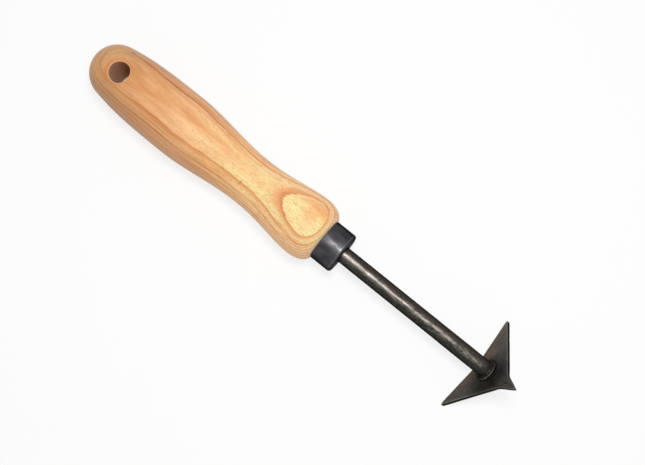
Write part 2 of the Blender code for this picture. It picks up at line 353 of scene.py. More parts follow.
def add_node(
    tree: Tree, kind: str, feeds: dict | tuple = (), **settings: object
) -> bpy.types.NodeOutputs:
    """Adds one shader node with its settings and links.

    Args:
        tree: the material's node tree.
        kind: the node's type name in Blender, without its first word.
        feeds: what goes into the inputs, as `feed` takes it.
        settings: the node's own properties; `stops` fills a colour ramp with places and hex
            colours or grey levels.

    Returns:
        The new node's outputs.
    """
    made = tree.nodes.new("ShaderNode" + kind)
    for place, (at, tone) in enumerate(settings.pop("stops", [])):
        elements = made.color_ramp.elements
        stop = elements[place] if place < 2 else elements.new(at)
        stop.position = at
        stop.color = linear(tone) if isinstance(tone, str) else (tone, tone, tone, 1)
    for name, value in settings.items():
        setattr(made, name, value)
    feed(tree, made, feeds)
    return made.outputs


def new_material(name: str) -> tuple[bpy.types.Material, Tree, bpy.types.Node]:
    """Starts a material.

    Args:
        name: what it is made of and how its surface was made.

    Returns:
        The material, its node tree and its Principled shader.
    """
    material = bpy.data.materials.new(name)
    material.use_nodes = True
    tree = material.node_tree
    return material, tree, tree.nodes["Principled BSDF"]


@dataclass(frozen=True)
class OiledAsh:
    """Ash, turned, sanded and oiled.

    Ash is ring-porous: each growth ring turns from pale to orange, ends in a thin brown line
    and starts pale again. Its pores show as short dark dashes along the grain. The oil warms
    the colour and gives a soft, silky gloss.
    """

    origin: Vector
    length: float
    hole: Vector
    hole_radius: float
    pale: str = "fdd3a1"
    cream: str = "f4e2a3"
    pore: str = "da8e4c"
    stain: str = "cc7c36"
    end: str = "efdcbf"
    # Real fibres are about 0.02 mm wide, too fine to show, so bundles of them are drawn
    fibre: Size = (26 * MM, 0.8 * MM, 0.8 * MM)
    # Real pores are about 0.2 mm wide, too fine to show, so they are drawn coarser
    pore_size: Size = (2.2 * MM, 0.36 * MM, 0.36 * MM)
    cloud: Size = (30 * MM, 8 * MM, 8 * MM)
    ripple_width: float = 0.27
    ripple_size: Size = (24 * MM, 7 * MM, 1.0)
    # How fine each noise is: fibres, pores and clouds
    details: tuple[int, ...] = (3, 1, 2)
    # How dark the wood is across one ring, from its early wood to its last thin line
    bands: Stops = (
        (0.0, 0.2), (0.05, 0.0), (0.5, 0.12), (0.78, 0.40), (0.90, 0.78), (0.96, 1.0), (1.0, 0.4),
    )
    # How far the fibres shift the rings, how strong the rings are from cloud to cloud, how
    # strong the finer lines are, how calm they are in the sapwood, and how the rings fade
    # towards the butt, where the turning cuts across them
    ring_sway: float = 0.16
    ring_span: Span = (0.35, 0.65, 0.74, 1.16)
    ripple_span: Span = (0.32, 0.68, -0.25, 0.36)
    calm_span: Span = (0.3, 0.85, 1.0, 0.3)
    fade_span: Span = (0.84, 0.97, 1.0, 0.5)
    # The colours of darker wood: the darkness at which each starts and is full
    tones: tuple[tuple[float, float, str], ...] = (
        (0.0, 0.45, "eeb87d"), (0.35, 0.8, "e2a067"), (0.75, 1.1, "c27a45"),
    )
    streak_span: Span = (0.25, 0.75, 0.855, 1.12)
    pore_span: Span = (0.53, 0.67, 0.0, 0.62)
    # From the ferrule to the butt: greyer and browner where hands and the drill have been, and
    # darker as painted shade where less light falls towards the butt
    handled_and_shaded: Stops = (
        (0.0, "ffffff"), (0.35, "fdf9ef"), (0.6, "f1e1d4"), (0.8, "e2ccbc"), (1.0, "d0c5ba"),
    )
    # The same for the sides alone: painted shade that makes them darker and browner from the waist
    # to the butt
    flank_shade: Stops = (
        (0.15, "ffffff"), (0.33, "faf5f6"), (0.5, "ebe1e0"), (0.88, "e4e4e1"), (1.0, "dad3c6"),
    )
    # Where the painted shade on each side starts and is full, across the handle, and how strong it
    # is there
    shaded_sides: tuple[Span, ...] = ((-5.5 * MM, -12.0 * MM, 0.0, 1.0), (8.0 * MM, 13.0 * MM, 0.0, 0.45))
    # The open end grain behind the ferrule, along the handle
    end_grain: Stops = ((0.0, 0.8), (0.008, 0.0))
    # Round the drilled hole, in units of its width: an oily stain that lies towards the
    # butt, the wood laid bare, its brown inside and thin pale rim, and the dull wall
    stain_shift: float = 0.8 * MM
    stained: Stops = ((0.52, 0.75), (0.70, 0.0))
    opened: Stops = ((0.500, 0.72), (0.508, 0.7), (0.530, 0.55), (0.550, 0.0))
    inside: Stops = ((0.500, "bd8d5e"), (0.508, "ecc79c"))
    dull_wall: Stops = ((0.5, 1.0), (0.52, 0.0))
    # A short drying check on top of the waist, a pin knot near the butt, and two warm clouds
    # by the ferrule: middle and half size in millimetres, turn in degrees, how strong the
    # mark is, the share of its size that is this strong, and its colour
    marks: tuple[tuple[Size, Size, float, float, float, str], ...] = (
        ((-29.3, -4.2, 28.0), (0.32, 2.0, 3.0), -5, 0.7, 0.4, "7a4626"),
        ((-107.0, 11.5, 24.1), (1.7, 0.9, 0.9), 0, 0.5, 0.4, "7a4626"),
        ((7.0, 7.8, 28.0), (8.5, 3.8, 8.0), -15, 0.62, 0.2, "ec9f5a"),
        ((4.0, 3.4, 30.0), (5.5, 1.9, 8.0), -4, 0.34, 0.2, "e09850"),
    )
    roughness: tuple[float, float] = (0.49, 0.63)
    gloss: float = 0.45
    sheen: float = 0.12
    relief: float = 0.06 * MM
    relief_share: float = 0.16

    def darkness(
        self, tree: Tree, fibres: Socket, clouds: Socket, sap: Socket, across: Socket, back: Socket
    ) -> Socket:
        """Draws the rings, whose lines come and go along the grain, with finer lines between.

        Args:
            tree: the wood's node tree.
            fibres: the fibres' noise.
            clouds: the broad noise.
            sap: how much of a point is sapwood.
            across: where the finer lines' slow noise is read.
            back: how far back a point lies.

        Returns:
            How dark the wood is, about 0 to 1.
        """
        ring = add_node(tree, "Attribute", attribute_name="ring")["Fac"]
        sway = add_node(tree, "Math", (fibres, self.ring_sway, ring), operation="MULTIPLY_ADD")[0]
        share = add_node(tree, "Math", (sway,), operation="FRACT")[0]
        shade = add_node(tree, "ValToRGB", (share,), stops=self.bands)[0]
        spot = add_node(tree, "SeparateXYZ", (across,))
        thin = add_node(tree, "Math", (ring, 1 / self.ripple_width), operation="MULTIPLY")[0]
        slow = add_node(tree, "CombineXYZ", (thin, spot["X"], spot["Y"]))[0]
        ripple = add_node(tree, "TexNoise", {"Vector": slow, "Scale": 1, "Detail": 2})[0]
        strength, fine, calm, faint = [
            add_node(tree, "MapRange", (value, *span))[0]
            for value, span in (
                (clouds, self.ring_span),
                (ripple, self.ripple_span),
                (sap, self.calm_span),
                (back, self.fade_span),
            )
        ]
        dark = add_node(tree, "Math", (shade, strength), operation="MULTIPLY")[0]
        dark = add_node(tree, "Math", (fine, calm, dark), operation="MULTIPLY_ADD")[0]
        return add_node(tree, "Math", (dark, faint), operation="MULTIPLY")[0]

    def material(self) -> bpy.types.Material:
        """Lays the wood's colours over one another, from the pale ground to the marks, with painted
        shade towards the butt and on the sides.

        Returns:
            The wood.
        """
        material, tree, shader = new_material("ash_turned_and_oiled")
        place = add_node(tree, "TexCoord")["Object"]
        sap = add_node(tree, "Attribute", attribute_name="sap")["Fac"]
        width = (2 * self.hole_radius, 2 * self.hole_radius, ENDLESS)
        spreads = (
            (self.origin, self.fibre),
            (self.origin, self.pore_size),
            (self.origin, self.cloud),
            (self.origin, self.ripple_size),
            (self.origin, (-self.length, 1, 1)),
            (self.hole - Vector((self.stain_shift, 0.0, 0.0)), width),
            (self.hole, width),
        )
        spots = []
        for middle, size in spreads:
            spread = {"Vector": place, "Location": middle, "Scale": size}
            spots.append(add_node(tree, "Mapping", spread, vector_type="TEXTURE")[0])
        fibres, pores, clouds = [
            add_node(tree, "TexNoise", {"Vector": spot, "Scale": 1, "Detail": detail})[0]
            for spot, detail in zip(spots, self.details)
        ]
        along = add_node(tree, "SeparateXYZ", (spots[4],))
        back, out = along["X"], along["Y"]
        from_stain, from_hole = [
            add_node(tree, "VectorMath", (spot,), operation="LENGTH")["Value"] for spot in spots[5:]
        ]
        handled_and_shaded, flank_shade, end_grain, stained, opened, inside, dull_wall = [
            add_node(tree, "ValToRGB", (value,), stops=stops)[0]
            for value, stops in (
                (back, self.handled_and_shaded),
                (back, self.flank_shade),
                (back, self.end_grain),
                (from_stain, self.stained),
                (from_hole, self.opened),
                (from_hole, self.inside),
                (from_hole, self.dull_wall),
            )
        ]
        streak = add_node(tree, "MapRange", (fibres, *self.streak_span))[0]
        pore = add_node(tree, "MapRange", (pores, *self.pore_span))[0]
        dark = self.darkness(tree, fibres, clouds, sap, spots[3], back)

        layers = [(sap, self.cream, Layer.COVER)]
        for start, full, tone in self.tones:
            share = add_node(tree, "MapRange", (dark, start, full))[0]
            layers.append((share, tone, Layer.COVER))
        # Partly grime and partly painted shade: darker towards the butt
        layers.append((1.0, handled_and_shaded, Layer.TINT))
        # Painted shade on the sides, most on the side towards -Y
        for side in self.shaded_sides:
            layers.append((add_node(tree, "MapRange", (out, *side))[0], flank_shade, Layer.TINT))
        layers.append((1.0, streak, Layer.TINT))
        layers.append((pore, self.pore, Layer.COVER))
        layers.append((end_grain, self.end, Layer.COVER))
        layers.append((stained, self.stain, Layer.COVER))
        layers.append((opened, inside, Layer.COVER))
        for middle, size, turn, most, full, tone in self.marks:
            spread = {"Location": Vector(middle) * MM, "Scale": Vector(size) * MM}
            spread |= {"Vector": place, "Rotation": (0, 0, math.radians(turn))}
            near = add_node(tree, "Mapping", spread, vector_type="TEXTURE")[0]
            off = add_node(tree, "VectorMath", (near,), operation="LENGTH")["Value"]
            share = add_node(tree, "MapRange", (off, full, 1.0, most, 0.0))[0]
            layers.append((share, tone, Layer.COVER))
        wood = self.pale
        for share, tone, layer in layers:
            mix = {MIX_SHARE: share, MIX_FIRST: wood, MIX_SECOND: tone}
            blended = {"data_type": "RGBA", "blend_type": layer.value}
            wood = add_node(tree, "Mix", mix, **blended)[MIX_RESULT]

        shine = add_node(tree, "MapRange", (fibres, 0.0, 1.0, *self.roughness))[0]
        relief = add_node(tree, "Math", (fibres, pore), operation="SUBTRACT")[0]
        bump = {"Height": relief, "Strength": self.relief_share, "Distance": self.relief}
        finish = {
            "Base Color": wood,
            "Roughness": add_node(tree, "Math", (shine, dull_wall), operation="MAXIMUM")[0],
            "Specular IOR Level": self.gloss,
            "Sheen Weight": self.sheen,
            "Normal": add_node(tree, "Bump", bump)[0],
        }
        feed(tree, shader, finish)
        return material


@dataclass(frozen=True)
class BlackedSteel:
    """Pressed mild steel, blacked in hot salts and wiped with oil.

    The skin is an even black that takes a wide, soft highlight, with faint cloudy marks from
    the bath and fine lines along the cup, where the press drew it.
    """

    origin: Vector
    colour: str = "4b4a4c"
    cloudy: str = "383739"
    # The light line on the front edge: rubbed steel and a painted highlight
    rubbed_and_glint: str = "7c7c7e"
    edge_tint: str = "808080"
    cloud: Size = (6.0 * MM, 3.0 * MM, 3.0 * MM)
    # The press leaves lines about 0.05 mm wide, too fine to show, so they are drawn coarser
    drawn: Size = (5.0 * MM, 0.5 * MM, 0.5 * MM)
    # How fine the two noises are, the clouds' range, and the lines' part in the gloss
    details: tuple[int, int] = (4, 2)
    cloud_range: tuple[float, float] = (0.35, 0.65)
    line_share: float = 0.6
    shine_span: Span = (0.5, 1.1, 0.28, 0.52)
    relief: float = 0.05 * MM
    relief_share: float = 0.12

    def material(self) -> bpy.types.Material:
        """Makes the ferrule's steel: clouds over black, and a rubbed edge that also carries a
        painted highlight.

        Returns:
            The steel.
        """
        material, tree, shader = new_material("mild_steel_blacked")
        place = add_node(tree, "TexCoord")["Object"]
        fields = []
        for size, detail in zip((self.cloud, self.drawn), self.details):
            spread = {"Vector": place, "Location": self.origin, "Scale": size}
            at = add_node(tree, "Mapping", spread, vector_type="TEXTURE")[0]
            grain = {"Vector": at, "Scale": 1, "Detail": detail}
            fields.append(add_node(tree, "TexNoise", grain)[0])
        clouds, lines = fields
        cloudy = add_node(tree, "MapRange", (clouds, *self.cloud_range))[0]
        # The rubbed edge's light line, which is also a painted highlight
        edge = add_node(tree, "Attribute", attribute_name="rubbed_and_glint")["Fac"]
        colour = self.colour
        for share, tone in ((cloudy, self.cloudy), (edge, self.rubbed_and_glint)):
            mix = {MIX_SHARE: share, MIX_FIRST: colour, MIX_SECOND: tone}
            colour = add_node(tree, "Mix", mix, data_type="RGBA")[MIX_RESULT]
        both = add_node(tree, "Math", (lines, self.line_share, clouds), operation="MULTIPLY_ADD")[0]
        bump = {"Height": lines, "Strength": self.relief_share, "Distance": self.relief}
        finish = {
            "Base Color": colour,
            "Roughness": add_node(tree, "MapRange", (both, *self.shine_span))[0],
            "Metallic": 1.0,
            "Specular Tint": self.edge_tint,
            "Normal": add_node(tree, "Bump", bump)[0],
        }
        feed(tree, shader, finish)
        return material


@dataclass(frozen=True)
class ForgedSteel:
    """Carbon steel as it leaves the forge.

    A skin of near-black scale, flaked and rubbed through to grey steel in ragged patches,
    browner in places, bright on worn edges, and sooty where the hammer didn't reach.

    The mesh says how bare, sooty, browned and ground each point is. Its bareness also holds painted
    highlights and a painted glint, its soot painted shade, and its brown, on the rod, painted light
    on one side.
    """

    name: str
    scale: str = "2e2e2a"
    brown: str = "3f3833"
    flake: str = "47463f"
    bare: str = "69625d"
    bright: str = "b6afa8"
    # Near-black for soot, and for painted shade in corners and round the head
    soot_and_shade: str = "1d1c19"
    ground: str = "aaa29c"
    ground_dark: str = "645c57"
    edge_tint: str = "4a4a4a"
    patch: Size = (5.0 * MM, 1.7 * MM, 1.7 * MM)
    # Real grit on scale is about 0.1 mm across, too fine to show, so it is drawn coarser
    grit: Size = (1.4 * MM, 0.5 * MM, 0.5 * MM)
    cloud: Size = (9.0 * MM, 9.0 * MM, 9.0 * MM)
    # How fine the three noises are, and how rough
    details: tuple[int, int, int] = (4, 2, 2)
    ragged: float = 0.6
    # What grit and the place's own bareness add to the patches, where that sum breaks the
    # scale, and over how much more of it the break is full
    grit_share: float = 0.35
    bare_share: float = 0.5
    cover: float = 0.88
    softness: float = 0.32
    # The ranges over which brown, flakes, polish and the mottled ground come in
    brown_share: float = 0.3
    brown_range: tuple[float, float] = (0.42, 0.62)
    flake_range: tuple[float, float] = (0.45, 0.75)
    polish_range: tuple[float, float] = (0.75, 1.0)
    mottle_range: tuple[float, float] = (0.58, 1.08)
    # From scale to bare steel
    roughness: tuple[float, float] = (0.49, 0.39)
    relief: float = 0.08 * MM
    relief_share: float = 0.4

    def material(self) -> bpy.types.Material:
        """Breaks the scale where patch, grit and the place's own bareness add up.

        Ground and hammered faces are lighter, mottled with what is left of the scale.

        Returns:
            The steel.
        """
        material, tree, shader = new_material(self.name)
        place = add_node(tree, "TexCoord")["Object"]
        fields = []
        for size, detail in zip((self.patch, self.grit, self.cloud), self.details):
            spread = {"Vector": place, "Scale": size}
            at = add_node(tree, "Mapping", spread, vector_type="TEXTURE")[0]
            grain = {"Vector": at, "Scale": 1, "Detail": detail, "Roughness": self.ragged}
            fields.append(add_node(tree, "TexNoise", grain)[0])
        patches, grit, clouds = fields
        bareness, soot_and_shade, browned, ground = [
            add_node(tree, "Attribute", attribute_name=name)["Fac"]
            for name in ("bare", "soot_and_shade", "browned", "ground")
        ]
        rough, tan = [
            add_node(tree, "Math", values, operation="MULTIPLY_ADD")[0]
            for values in ((grit, self.grit_share, patches), (browned, self.brown_share, clouds))
        ]
        adds = (bareness, self.bare_share, rough)
        worn = add_node(tree, "Math", adds, operation="MULTIPLY_ADD")[0]
        broken, tan, flaked, polished, mottle = [
            add_node(tree, "MapRange", (value, *ends))[0]
            for value, ends in (
                (worn, (self.cover, self.cover + self.softness)),
                (tan, self.brown_range),
                (grit, self.flake_range),
                (bareness, self.polish_range),
                (worn, self.mottle_range),
            )
        ]
        mix = {MIX_SHARE: mottle, MIX_FIRST: self.ground_dark, MIX_SECOND: self.ground}
        dressed = add_node(tree, "Mix", mix, data_type="RGBA")[MIX_RESULT]
        steel = self.scale
        for share, tone in (
            (tan, self.brown),
            (flaked, self.flake),
            (broken, self.bare),
            (ground, dressed),
            (polished, self.bright),
            (soot_and_shade, self.soot_and_shade),
        ):
            mix = {MIX_SHARE: share, MIX_FIRST: steel, MIX_SECOND: tone}
            steel = add_node(tree, "Mix", mix, data_type="RGBA")[MIX_RESULT]
        pits = add_node(tree, "Math", (grit, broken), operation="SUBTRACT")[0]
        bump = {"Height": pits, "Strength": self.relief_share, "Distance": self.relief}
        finish = {
            "Base Color": steel,
            "Roughness": add_node(tree, "MapRange", (broken, 0.0, 1.0, *self.roughness))[0],
            "Metallic": 1.0,
            "Specular Tint": self.edge_tint,
            "Normal": add_node(tree, "Bump", bump)[0],
        }
        feed(tree, shader, finish)
        return material


@dataclass
class Ferrule:
    """The black steel cup between the handle and the rod."""

    axis: ToolAxis
    radius: float = 10.25 * MM
    length: float = 11.1 * MM
    wall: float = 1.5 * MM
    face_wall: float = 1.8 * MM
    edge_round: float = 1.4 * MM
    rod_hole: float = 4.3 * MM
    edge_break: float = 0.2 * MM
    # A thin light line where the front edge starts to turn, partly rubbed steel and partly a
    # painted highlight: its width and strength
    rub_glint_width: float = 0.25 * MM
    rub_glint_most: float = 0.35
    overlap: float = 0.5 * MM
    corner_steps: int = 13
    segments: int = 160
    point_gap: float = 0.35 * MM

    def profile(self) -> np.ndarray:
        """The wall's closed outline: a cup whose front edge is a quarter round.

        Returns:
            Station and radius of each point.
        """
        quarter = np.linspace(0, np.pi / 2, self.corner_steps)
        corner = np.array([self.length, self.radius]) - self.edge_round
        front = corner + self.edge_round * np.stack([np.sin(quarter), np.cos(quarter)], axis=1)
        inner, inside = self.radius - self.wall, self.length - self.face_wall
        start = (self.overlap, inner)
        rear = rounded([start, (0, inner), (0, self.radius), front[0]], self.edge_break)
        hole = [front[-1], (self.length, self.rod_hole), (inside, self.rod_hole)]
        mouth = rounded(hole + [(inside, inner), start], self.edge_break)
        return spaced(np.vstack([rear[:-1], front, mouth[1:-1]]), self.point_gap)

    def rubbed_and_glint(self, profile: np.ndarray) -> np.ndarray:
        """How far the black is rubbed off, with a painted highlight: a thin light line where the
        front edge starts to turn.

        It falls off by e^-(distance/width)² along the cup, and the inside has none.

        Args:
            profile: station and radius of each point.

        Returns:
            0 to 1 for each point.
        """
        station, radius = profile.T
        # The painted highlight, partly a rubbed edge, lies just behind the start of the front
        # rounding
        off = station - self.length + self.edge_round - self.rub_glint_width
        outside = radius > self.radius - self.edge_round
        return np.where(outside, self.rub_glint_most * bell(off, self.rub_glint_width), 0.0)

    def build(self) -> bpy.types.Object:
        """Builds the cup as one closed ring.

        Returns:
            The cup, not yet dressed.
        """
        shell = Shell()
        profile = self.profile()
        points = turned(profile, self.segments)
        index = shell.add(points)
        shell.quads.append(net(index, rows_close=True))
        piece = shell.piece("ferrule_cup", self.axis)
        shell.write(piece, "rubbed_and_glint", np.broadcast_to(self.rubbed_and_glint(profile)[:, None], index.shape))
        return piece

    def dress(self, piece: bpy.types.Object) -> None:
        """Gives the cup its blacked steel.

        Args:
            piece: the object that `build` made.
        """
        origin = Vector((self.axis.start, 0.0, self.axis.height))
        piece.data.materials.append(BlackedSteel(origin).material())
        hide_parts("ferrule")


@dataclass
class Shaft:
    """The forged bar: squared tang, round rod, bend, collar, tenon and peened head."""

    axis: ToolAxis
    rod_start: float = 11.1 * MM
    rod_radius: float = 4.0 * MM
    rod_length: float = 77.85 * MM
    bend_radius: float = 10.0 * MM
    bend_angle: float = math.radians(24)
    neck_length: float = 1.5 * MM
    collar_radius: float = 5.7 * MM
    collar_height: float = 0.9 * MM
    collar_round: float = 0.4 * MM
    joint_gap: float = 0.08 * MM
    blade_thickness: float = 2.0 * MM
    tang_length: float = 56.0 * MM
    tang_taper: float = 38.0 * MM
    tang_tip: float = 1.9 * MM
    tang_tip_bevel: float = 0.6 * MM
    tang_squareness: float = 6.0
    tenon_radius: float = 3.0 * MM
    head_radius: float = 5.55 * MM
    head_rim: float = 0.5 * MM
    head_height: float = 1.3 * MM
    head_facets: int = 11
    hole_radius: float = 1.65 * MM
    hole_depth: float = 1.6 * MM
    crest_radius: float = 2.3 * MM
    segments: int = 132
    point_gap: float = 0.3 * MM
    dome_steps: int = 14
    pole_radius: float = 0.02 * MM
    edge_break: float = 0.22 * MM
    # The hammer's unevenness: its height, and the cells and shares of its two noises
    roughness_height: float = 0.045 * MM
    broad_cell: Size = (9 * MM, 3 * MM, 3 * MM)
    fine_cell: Size = (2.2 * MM, 1.1 * MM, 1.1 * MM)
    broad_share: float = 0.6
    noise_seeds: tuple[int, int] = (11, 12)
    # The head's rim: how its sides differ in length, the polygon's mean radius as a share of
    # its corners', and how much of the polygon is used
    facet_waver: float = 0.3
    facet_middle: float = 0.98
    facet_share: float = 0.5
    # The rubbed line, which is also a painted highlight: its angle and width, how bare it is from
    # the ferrule to the bend, the first stretch, how bare the rest of the rod is beside it, and the
    # most
    wear_highlight_line: float = 0.0
    wear_highlight_width: float = math.radians(28)
    wear_highlight_along: tuple[float, ...] = (1.0, 0.84, 0.66, 0.62)
    wear_highlight_stretch: float = 14 * MM
    worn_least: float = 0.2
    worn_most: float = 0.78
    # How bare the head, its rim and its crest are, and the rim's and half the crest's width
    head_worn: tuple[float, float, float] = (0.45, 0.7, 1.0)
    rim_width: float = 0.25 * MM
    crest_half: float = 0.3 * MM
    # The collar's edge: where and how widely a painted glint lies on it, how bare it is at least
    # and how much more the glint adds there, and its width
    collar_glint_line: float = math.radians(28)
    collar_glint_width: float = math.radians(25)
    collar_bare_and_glint: tuple[float, float] = (0.2, 0.42)
    collar_edge: float = 0.45 * MM
    # How dark the collar's foot is, with painted shade in its corner against the rod, and how dark
    # the centre hole is, and how far in the foot starts
    soot_and_shade: tuple[float, float] = (0.6, 0.5)
    foot_depth: float = 0.8 * MM

    @property
    def bend_start(self) -> float:
        """The station where the straight rod ends."""
        return self.rod_start + self.rod_length

    @property
    def bend_end(self) -> float:
        """The station where the bend ends, measured along the bar."""
        return self.bend_start + self.bend_radius * self.bend_angle

    @property
    def collar_back(self) -> float:
        """The station where the collar starts."""
        return self.bend_end + self.neck_length - self.collar_height

    @property
    def blade_back(self) -> float:
        """The station of the blade's back face, measured along the bar."""
        return self.bend_end + self.neck_length + FIT_GAP

    @property
    def head_rise(self) -> float:
        """The station from which the peened head's height is measured."""
        return self.blade_back + self.blade_thickness + FIT_GAP

    @property
    def corner_reach(self) -> float:
        """How far the squared tang's corners reach, as a share of its half width."""
        return 2 ** (0.5 - 1 / self.tang_squareness)

    def tang_half(self, station: float) -> float:
        """The tang's half width, which tapers evenly to its tip.

        Args:
            station: a place on the tang.

        Returns:
            Half the width across the flats.
        """
        full = self.rod_radius / self.corner_reach
        share = (station + self.tang_length) / self.tang_taper
        return self.tang_tip + (full - self.tang_tip) * share

    def profile(self) -> np.ndarray:
        """Station and radius of the straight bar, from the tang's tip to the centre hole.

        Hammering closes the collar and the head almost onto the blade, which lies between.

        Returns:
            One row for each ring of the bar.
        """
        tip, tang_end = -self.tang_length, -self.tang_length + self.tang_taper
        bevel, collar_back = self.tang_tip_bevel, self.collar_back
        collar_front = self.blade_back - self.joint_gap
        head_base = self.blade_back + self.blade_thickness + self.joint_gap
        tang = [
            (tip, self.pole_radius),
            (tip, self.tang_tip - bevel),
            (tip + bevel, self.tang_half(tip + bevel)),
            (tang_end - self.rod_radius, self.tang_half(tang_end - self.rod_radius)),
            (tang_end, self.rod_radius),
            (collar_back, self.rod_radius),
            (collar_back, self.collar_radius - self.collar_round),
            (collar_back + self.collar_round, self.collar_radius),
            (collar_front, self.collar_radius),
            (collar_front, self.tenon_radius),
            (head_base, self.tenon_radius),
            (head_base, self.head_radius),
            (self.head_rise + self.head_rim, self.head_radius),
        ]
        share = np.linspace(0, 1, self.dome_steps)
        rise = self.head_rim + (self.head_height - self.head_rim) * np.sin(share * np.pi / 2)
        spread = self.head_radius + (self.crest_radius - self.head_radius) * share
        dome = np.stack([self.head_rise + rise, spread], axis=1)
        top = self.head_rise + self.head_height
        floor = top - self.hole_depth
        hole = [
            tuple(dome[-1]),
            (top, self.hole_radius),
            (floor, self.hole_radius),
            (floor - self.hole_radius / 2, self.pole_radius),
        ]
        bar = rounded(tang, self.edge_break)
        pit = rounded(hole, self.edge_break)
        return spaced(np.vstack([bar[:-1], dome[:-1], pit]), self.point_gap)

    def bent(self, points: np.ndarray) -> np.ndarray:
        """Carries points of the straight bar round the bend, whose centre lies below the rod.

        The turn is the distance past the bend's start over its radius, at most the bend
        angle. A point keeps its distance from the centre while it turns, and beyond the bend
        it goes straight on in the turned direction.

        Args:
            points: places on the straight bar.

        Returns:
            The same places on the bent bar.
        """
        station, across, up = np.moveaxis(points, -1, 0)
        turn = np.clip((station - self.bend_start) / self.bend_radius, 0, self.bend_angle)
        reach = self.bend_radius + up
        beyond = np.maximum(station - self.bend_end, 0)
        straight = np.minimum(station, self.bend_start)
        return np.stack(
            [
                straight + reach * np.sin(turn) + beyond * np.cos(turn),
                across,
                reach * np.cos(turn) - self.bend_radius - beyond * np.sin(turn),
            ],
            axis=-1,
        )

    def squared(self, points: np.ndarray) -> np.ndarray:
        """Draws the tang out to a square with round corners.

        A point moves out by (|cos|^n + |sin|^n)^(-1/n) of its angle, n being the squareness.

        Args:
            points: places on the round bar.

        Returns:
            The points, moved out on the tang alone.
        """
        tang_end = -self.tang_length + self.tang_taper
        reach = np.hypot(points[..., 1], points[..., 2])
        share = np.abs(points[..., 1:]) / reach[..., None]
        growth = (share**self.tang_squareness).sum(axis=-1) ** (-1 / self.tang_squareness)
        growth = np.where(points[..., 0] > tang_end - self.rod_radius / 2, 1.0, growth)
        return points * np.stack([np.ones_like(growth), growth, growth], axis=-1)

    def hammered(self, points: np.ndarray) -> np.ndarray:
        """Leaves the marks of the hammer: an uneven rod and a head with blunt corners.

        The rod's radius varies by rolling noise of two sizes. The head's rim goes in and out
        like a polygon, whose radius at an angle is cos(π/n) over the cosine of the angle from
        its nearest side's middle, and only half of that difference is used.

        Args:
            points: places on the straight bar.

        Returns:
            The points, moved a little in or out.
        """
        station = points[..., 0]
        reach = np.hypot(points[..., 1], points[..., 2])
        first, second = self.noise_seeds
        waves = self.broad_share * rolling_noise(points, self.broad_cell, first)
        waves = waves + (1 - self.broad_share) * rolling_noise(points, self.fine_cell, second)
        uneven = self.roughness_height * waves / reach.clip(self.hole_radius)
        on_head = ease((station - self.blade_back - self.blade_thickness) / FIT_GAP)
        side = 2 * np.pi / self.head_facets
        angle = np.arctan2(points[..., 1], points[..., 2])
        wavering = angle + np.pi + self.facet_waver * np.sin(2 * angle)
        polygon = np.cos(side / 2) / np.cos(wavering % side - side / 2) - self.facet_middle
        out_there = ease((reach - self.crest_radius) / (self.head_radius - self.crest_radius))
        growth = 1 + uneven + self.facet_share * on_head * out_there * polygon
        return points * np.stack([np.ones_like(growth), growth, growth], axis=-1)

    def marks(self, profile: np.ndarray) -> dict[str, np.ndarray]:
        """How bare and ground each point is, and how dark with soot and painted shade, from 0 to 1,
        and browned, from -1 to 1.

        Hands and stones have rubbed the rod's upper side, and a painted highlight lies there too:
        its bareness is highest along one line, fades from the ferrule to the bend, and falls off by
        e^-(angle/width)² round the rod. The collar's edge has a painted glint that falls off in the
        same way. The collar's foot is darkened with painted shade where it meets the rod, and the
        centre hole is darker. The rod is browner and lighter towards +Y, by the sine of the angle,
        a painted light on that side.

        Args:
            profile: station and radius of each ring.

        Returns:
            The four values by name, each with a row for a ring and a column for a segment.
        """
        station, radius = profile.T[..., None]
        angle = np.arange(self.segments) * 2 * np.pi / self.segments
        off_line = (angle - self.wear_highlight_line + np.pi) % (2 * np.pi) - np.pi
        # Bare along one line on top, partly wear and partly a painted highlight that fades from the
        # ferrule to the bend
        ends = [self.rod_start, self.rod_start + self.wear_highlight_stretch, self.bend_start, self.bend_end]
        rubbed_and_glint = self.worn_least + (1 - self.worn_least) * bell(off_line, self.wear_highlight_width)
        bare = np.interp(station, ends, self.wear_highlight_along) * rubbed_and_glint
        bare = np.minimum(bare, self.worn_most)
        on_head = station > self.blade_back + self.blade_thickness / 2
        rim = on_head & (radius > self.head_radius - self.rim_width)
        crest = on_head & (np.abs(radius - self.crest_radius) < self.crest_half)
        for place, worn in zip((on_head, rim, crest), self.head_worn):
            bare = np.where(place, worn, bare)
        collar = (station > self.collar_back) & ~on_head
        edge = collar & (radius > self.collar_radius - self.collar_edge)
        # A painted glint on the collar's edge, strongest at one angle round it
        least, more = self.collar_bare_and_glint
        lit = least + more * bell(off_line + self.collar_glint_line, self.collar_glint_width)
        bare = np.where(edge, lit, bare)
        # Painted shade in the collar's foot where it meets the rod, and a darker centre hole
        on_collar, in_hole = self.soot_and_shade
        soot_and_shade = on_collar * (collar & (radius < self.collar_radius - self.foot_depth))
        soot_and_shade = np.where(on_head & (radius < self.hole_radius), in_hole, soot_and_shade)
        # Painted light: the rod is browner and lighter towards +Y, the side where more light falls
        browned = np.where(on_head | collar, 0.0, np.sin(angle))
        values = {"bare": bare, "soot_and_shade": soot_and_shade, "browned": browned, "ground": on_head}
        return {name: np.broadcast_to(value, bare.shape) for name, value in values.items()}

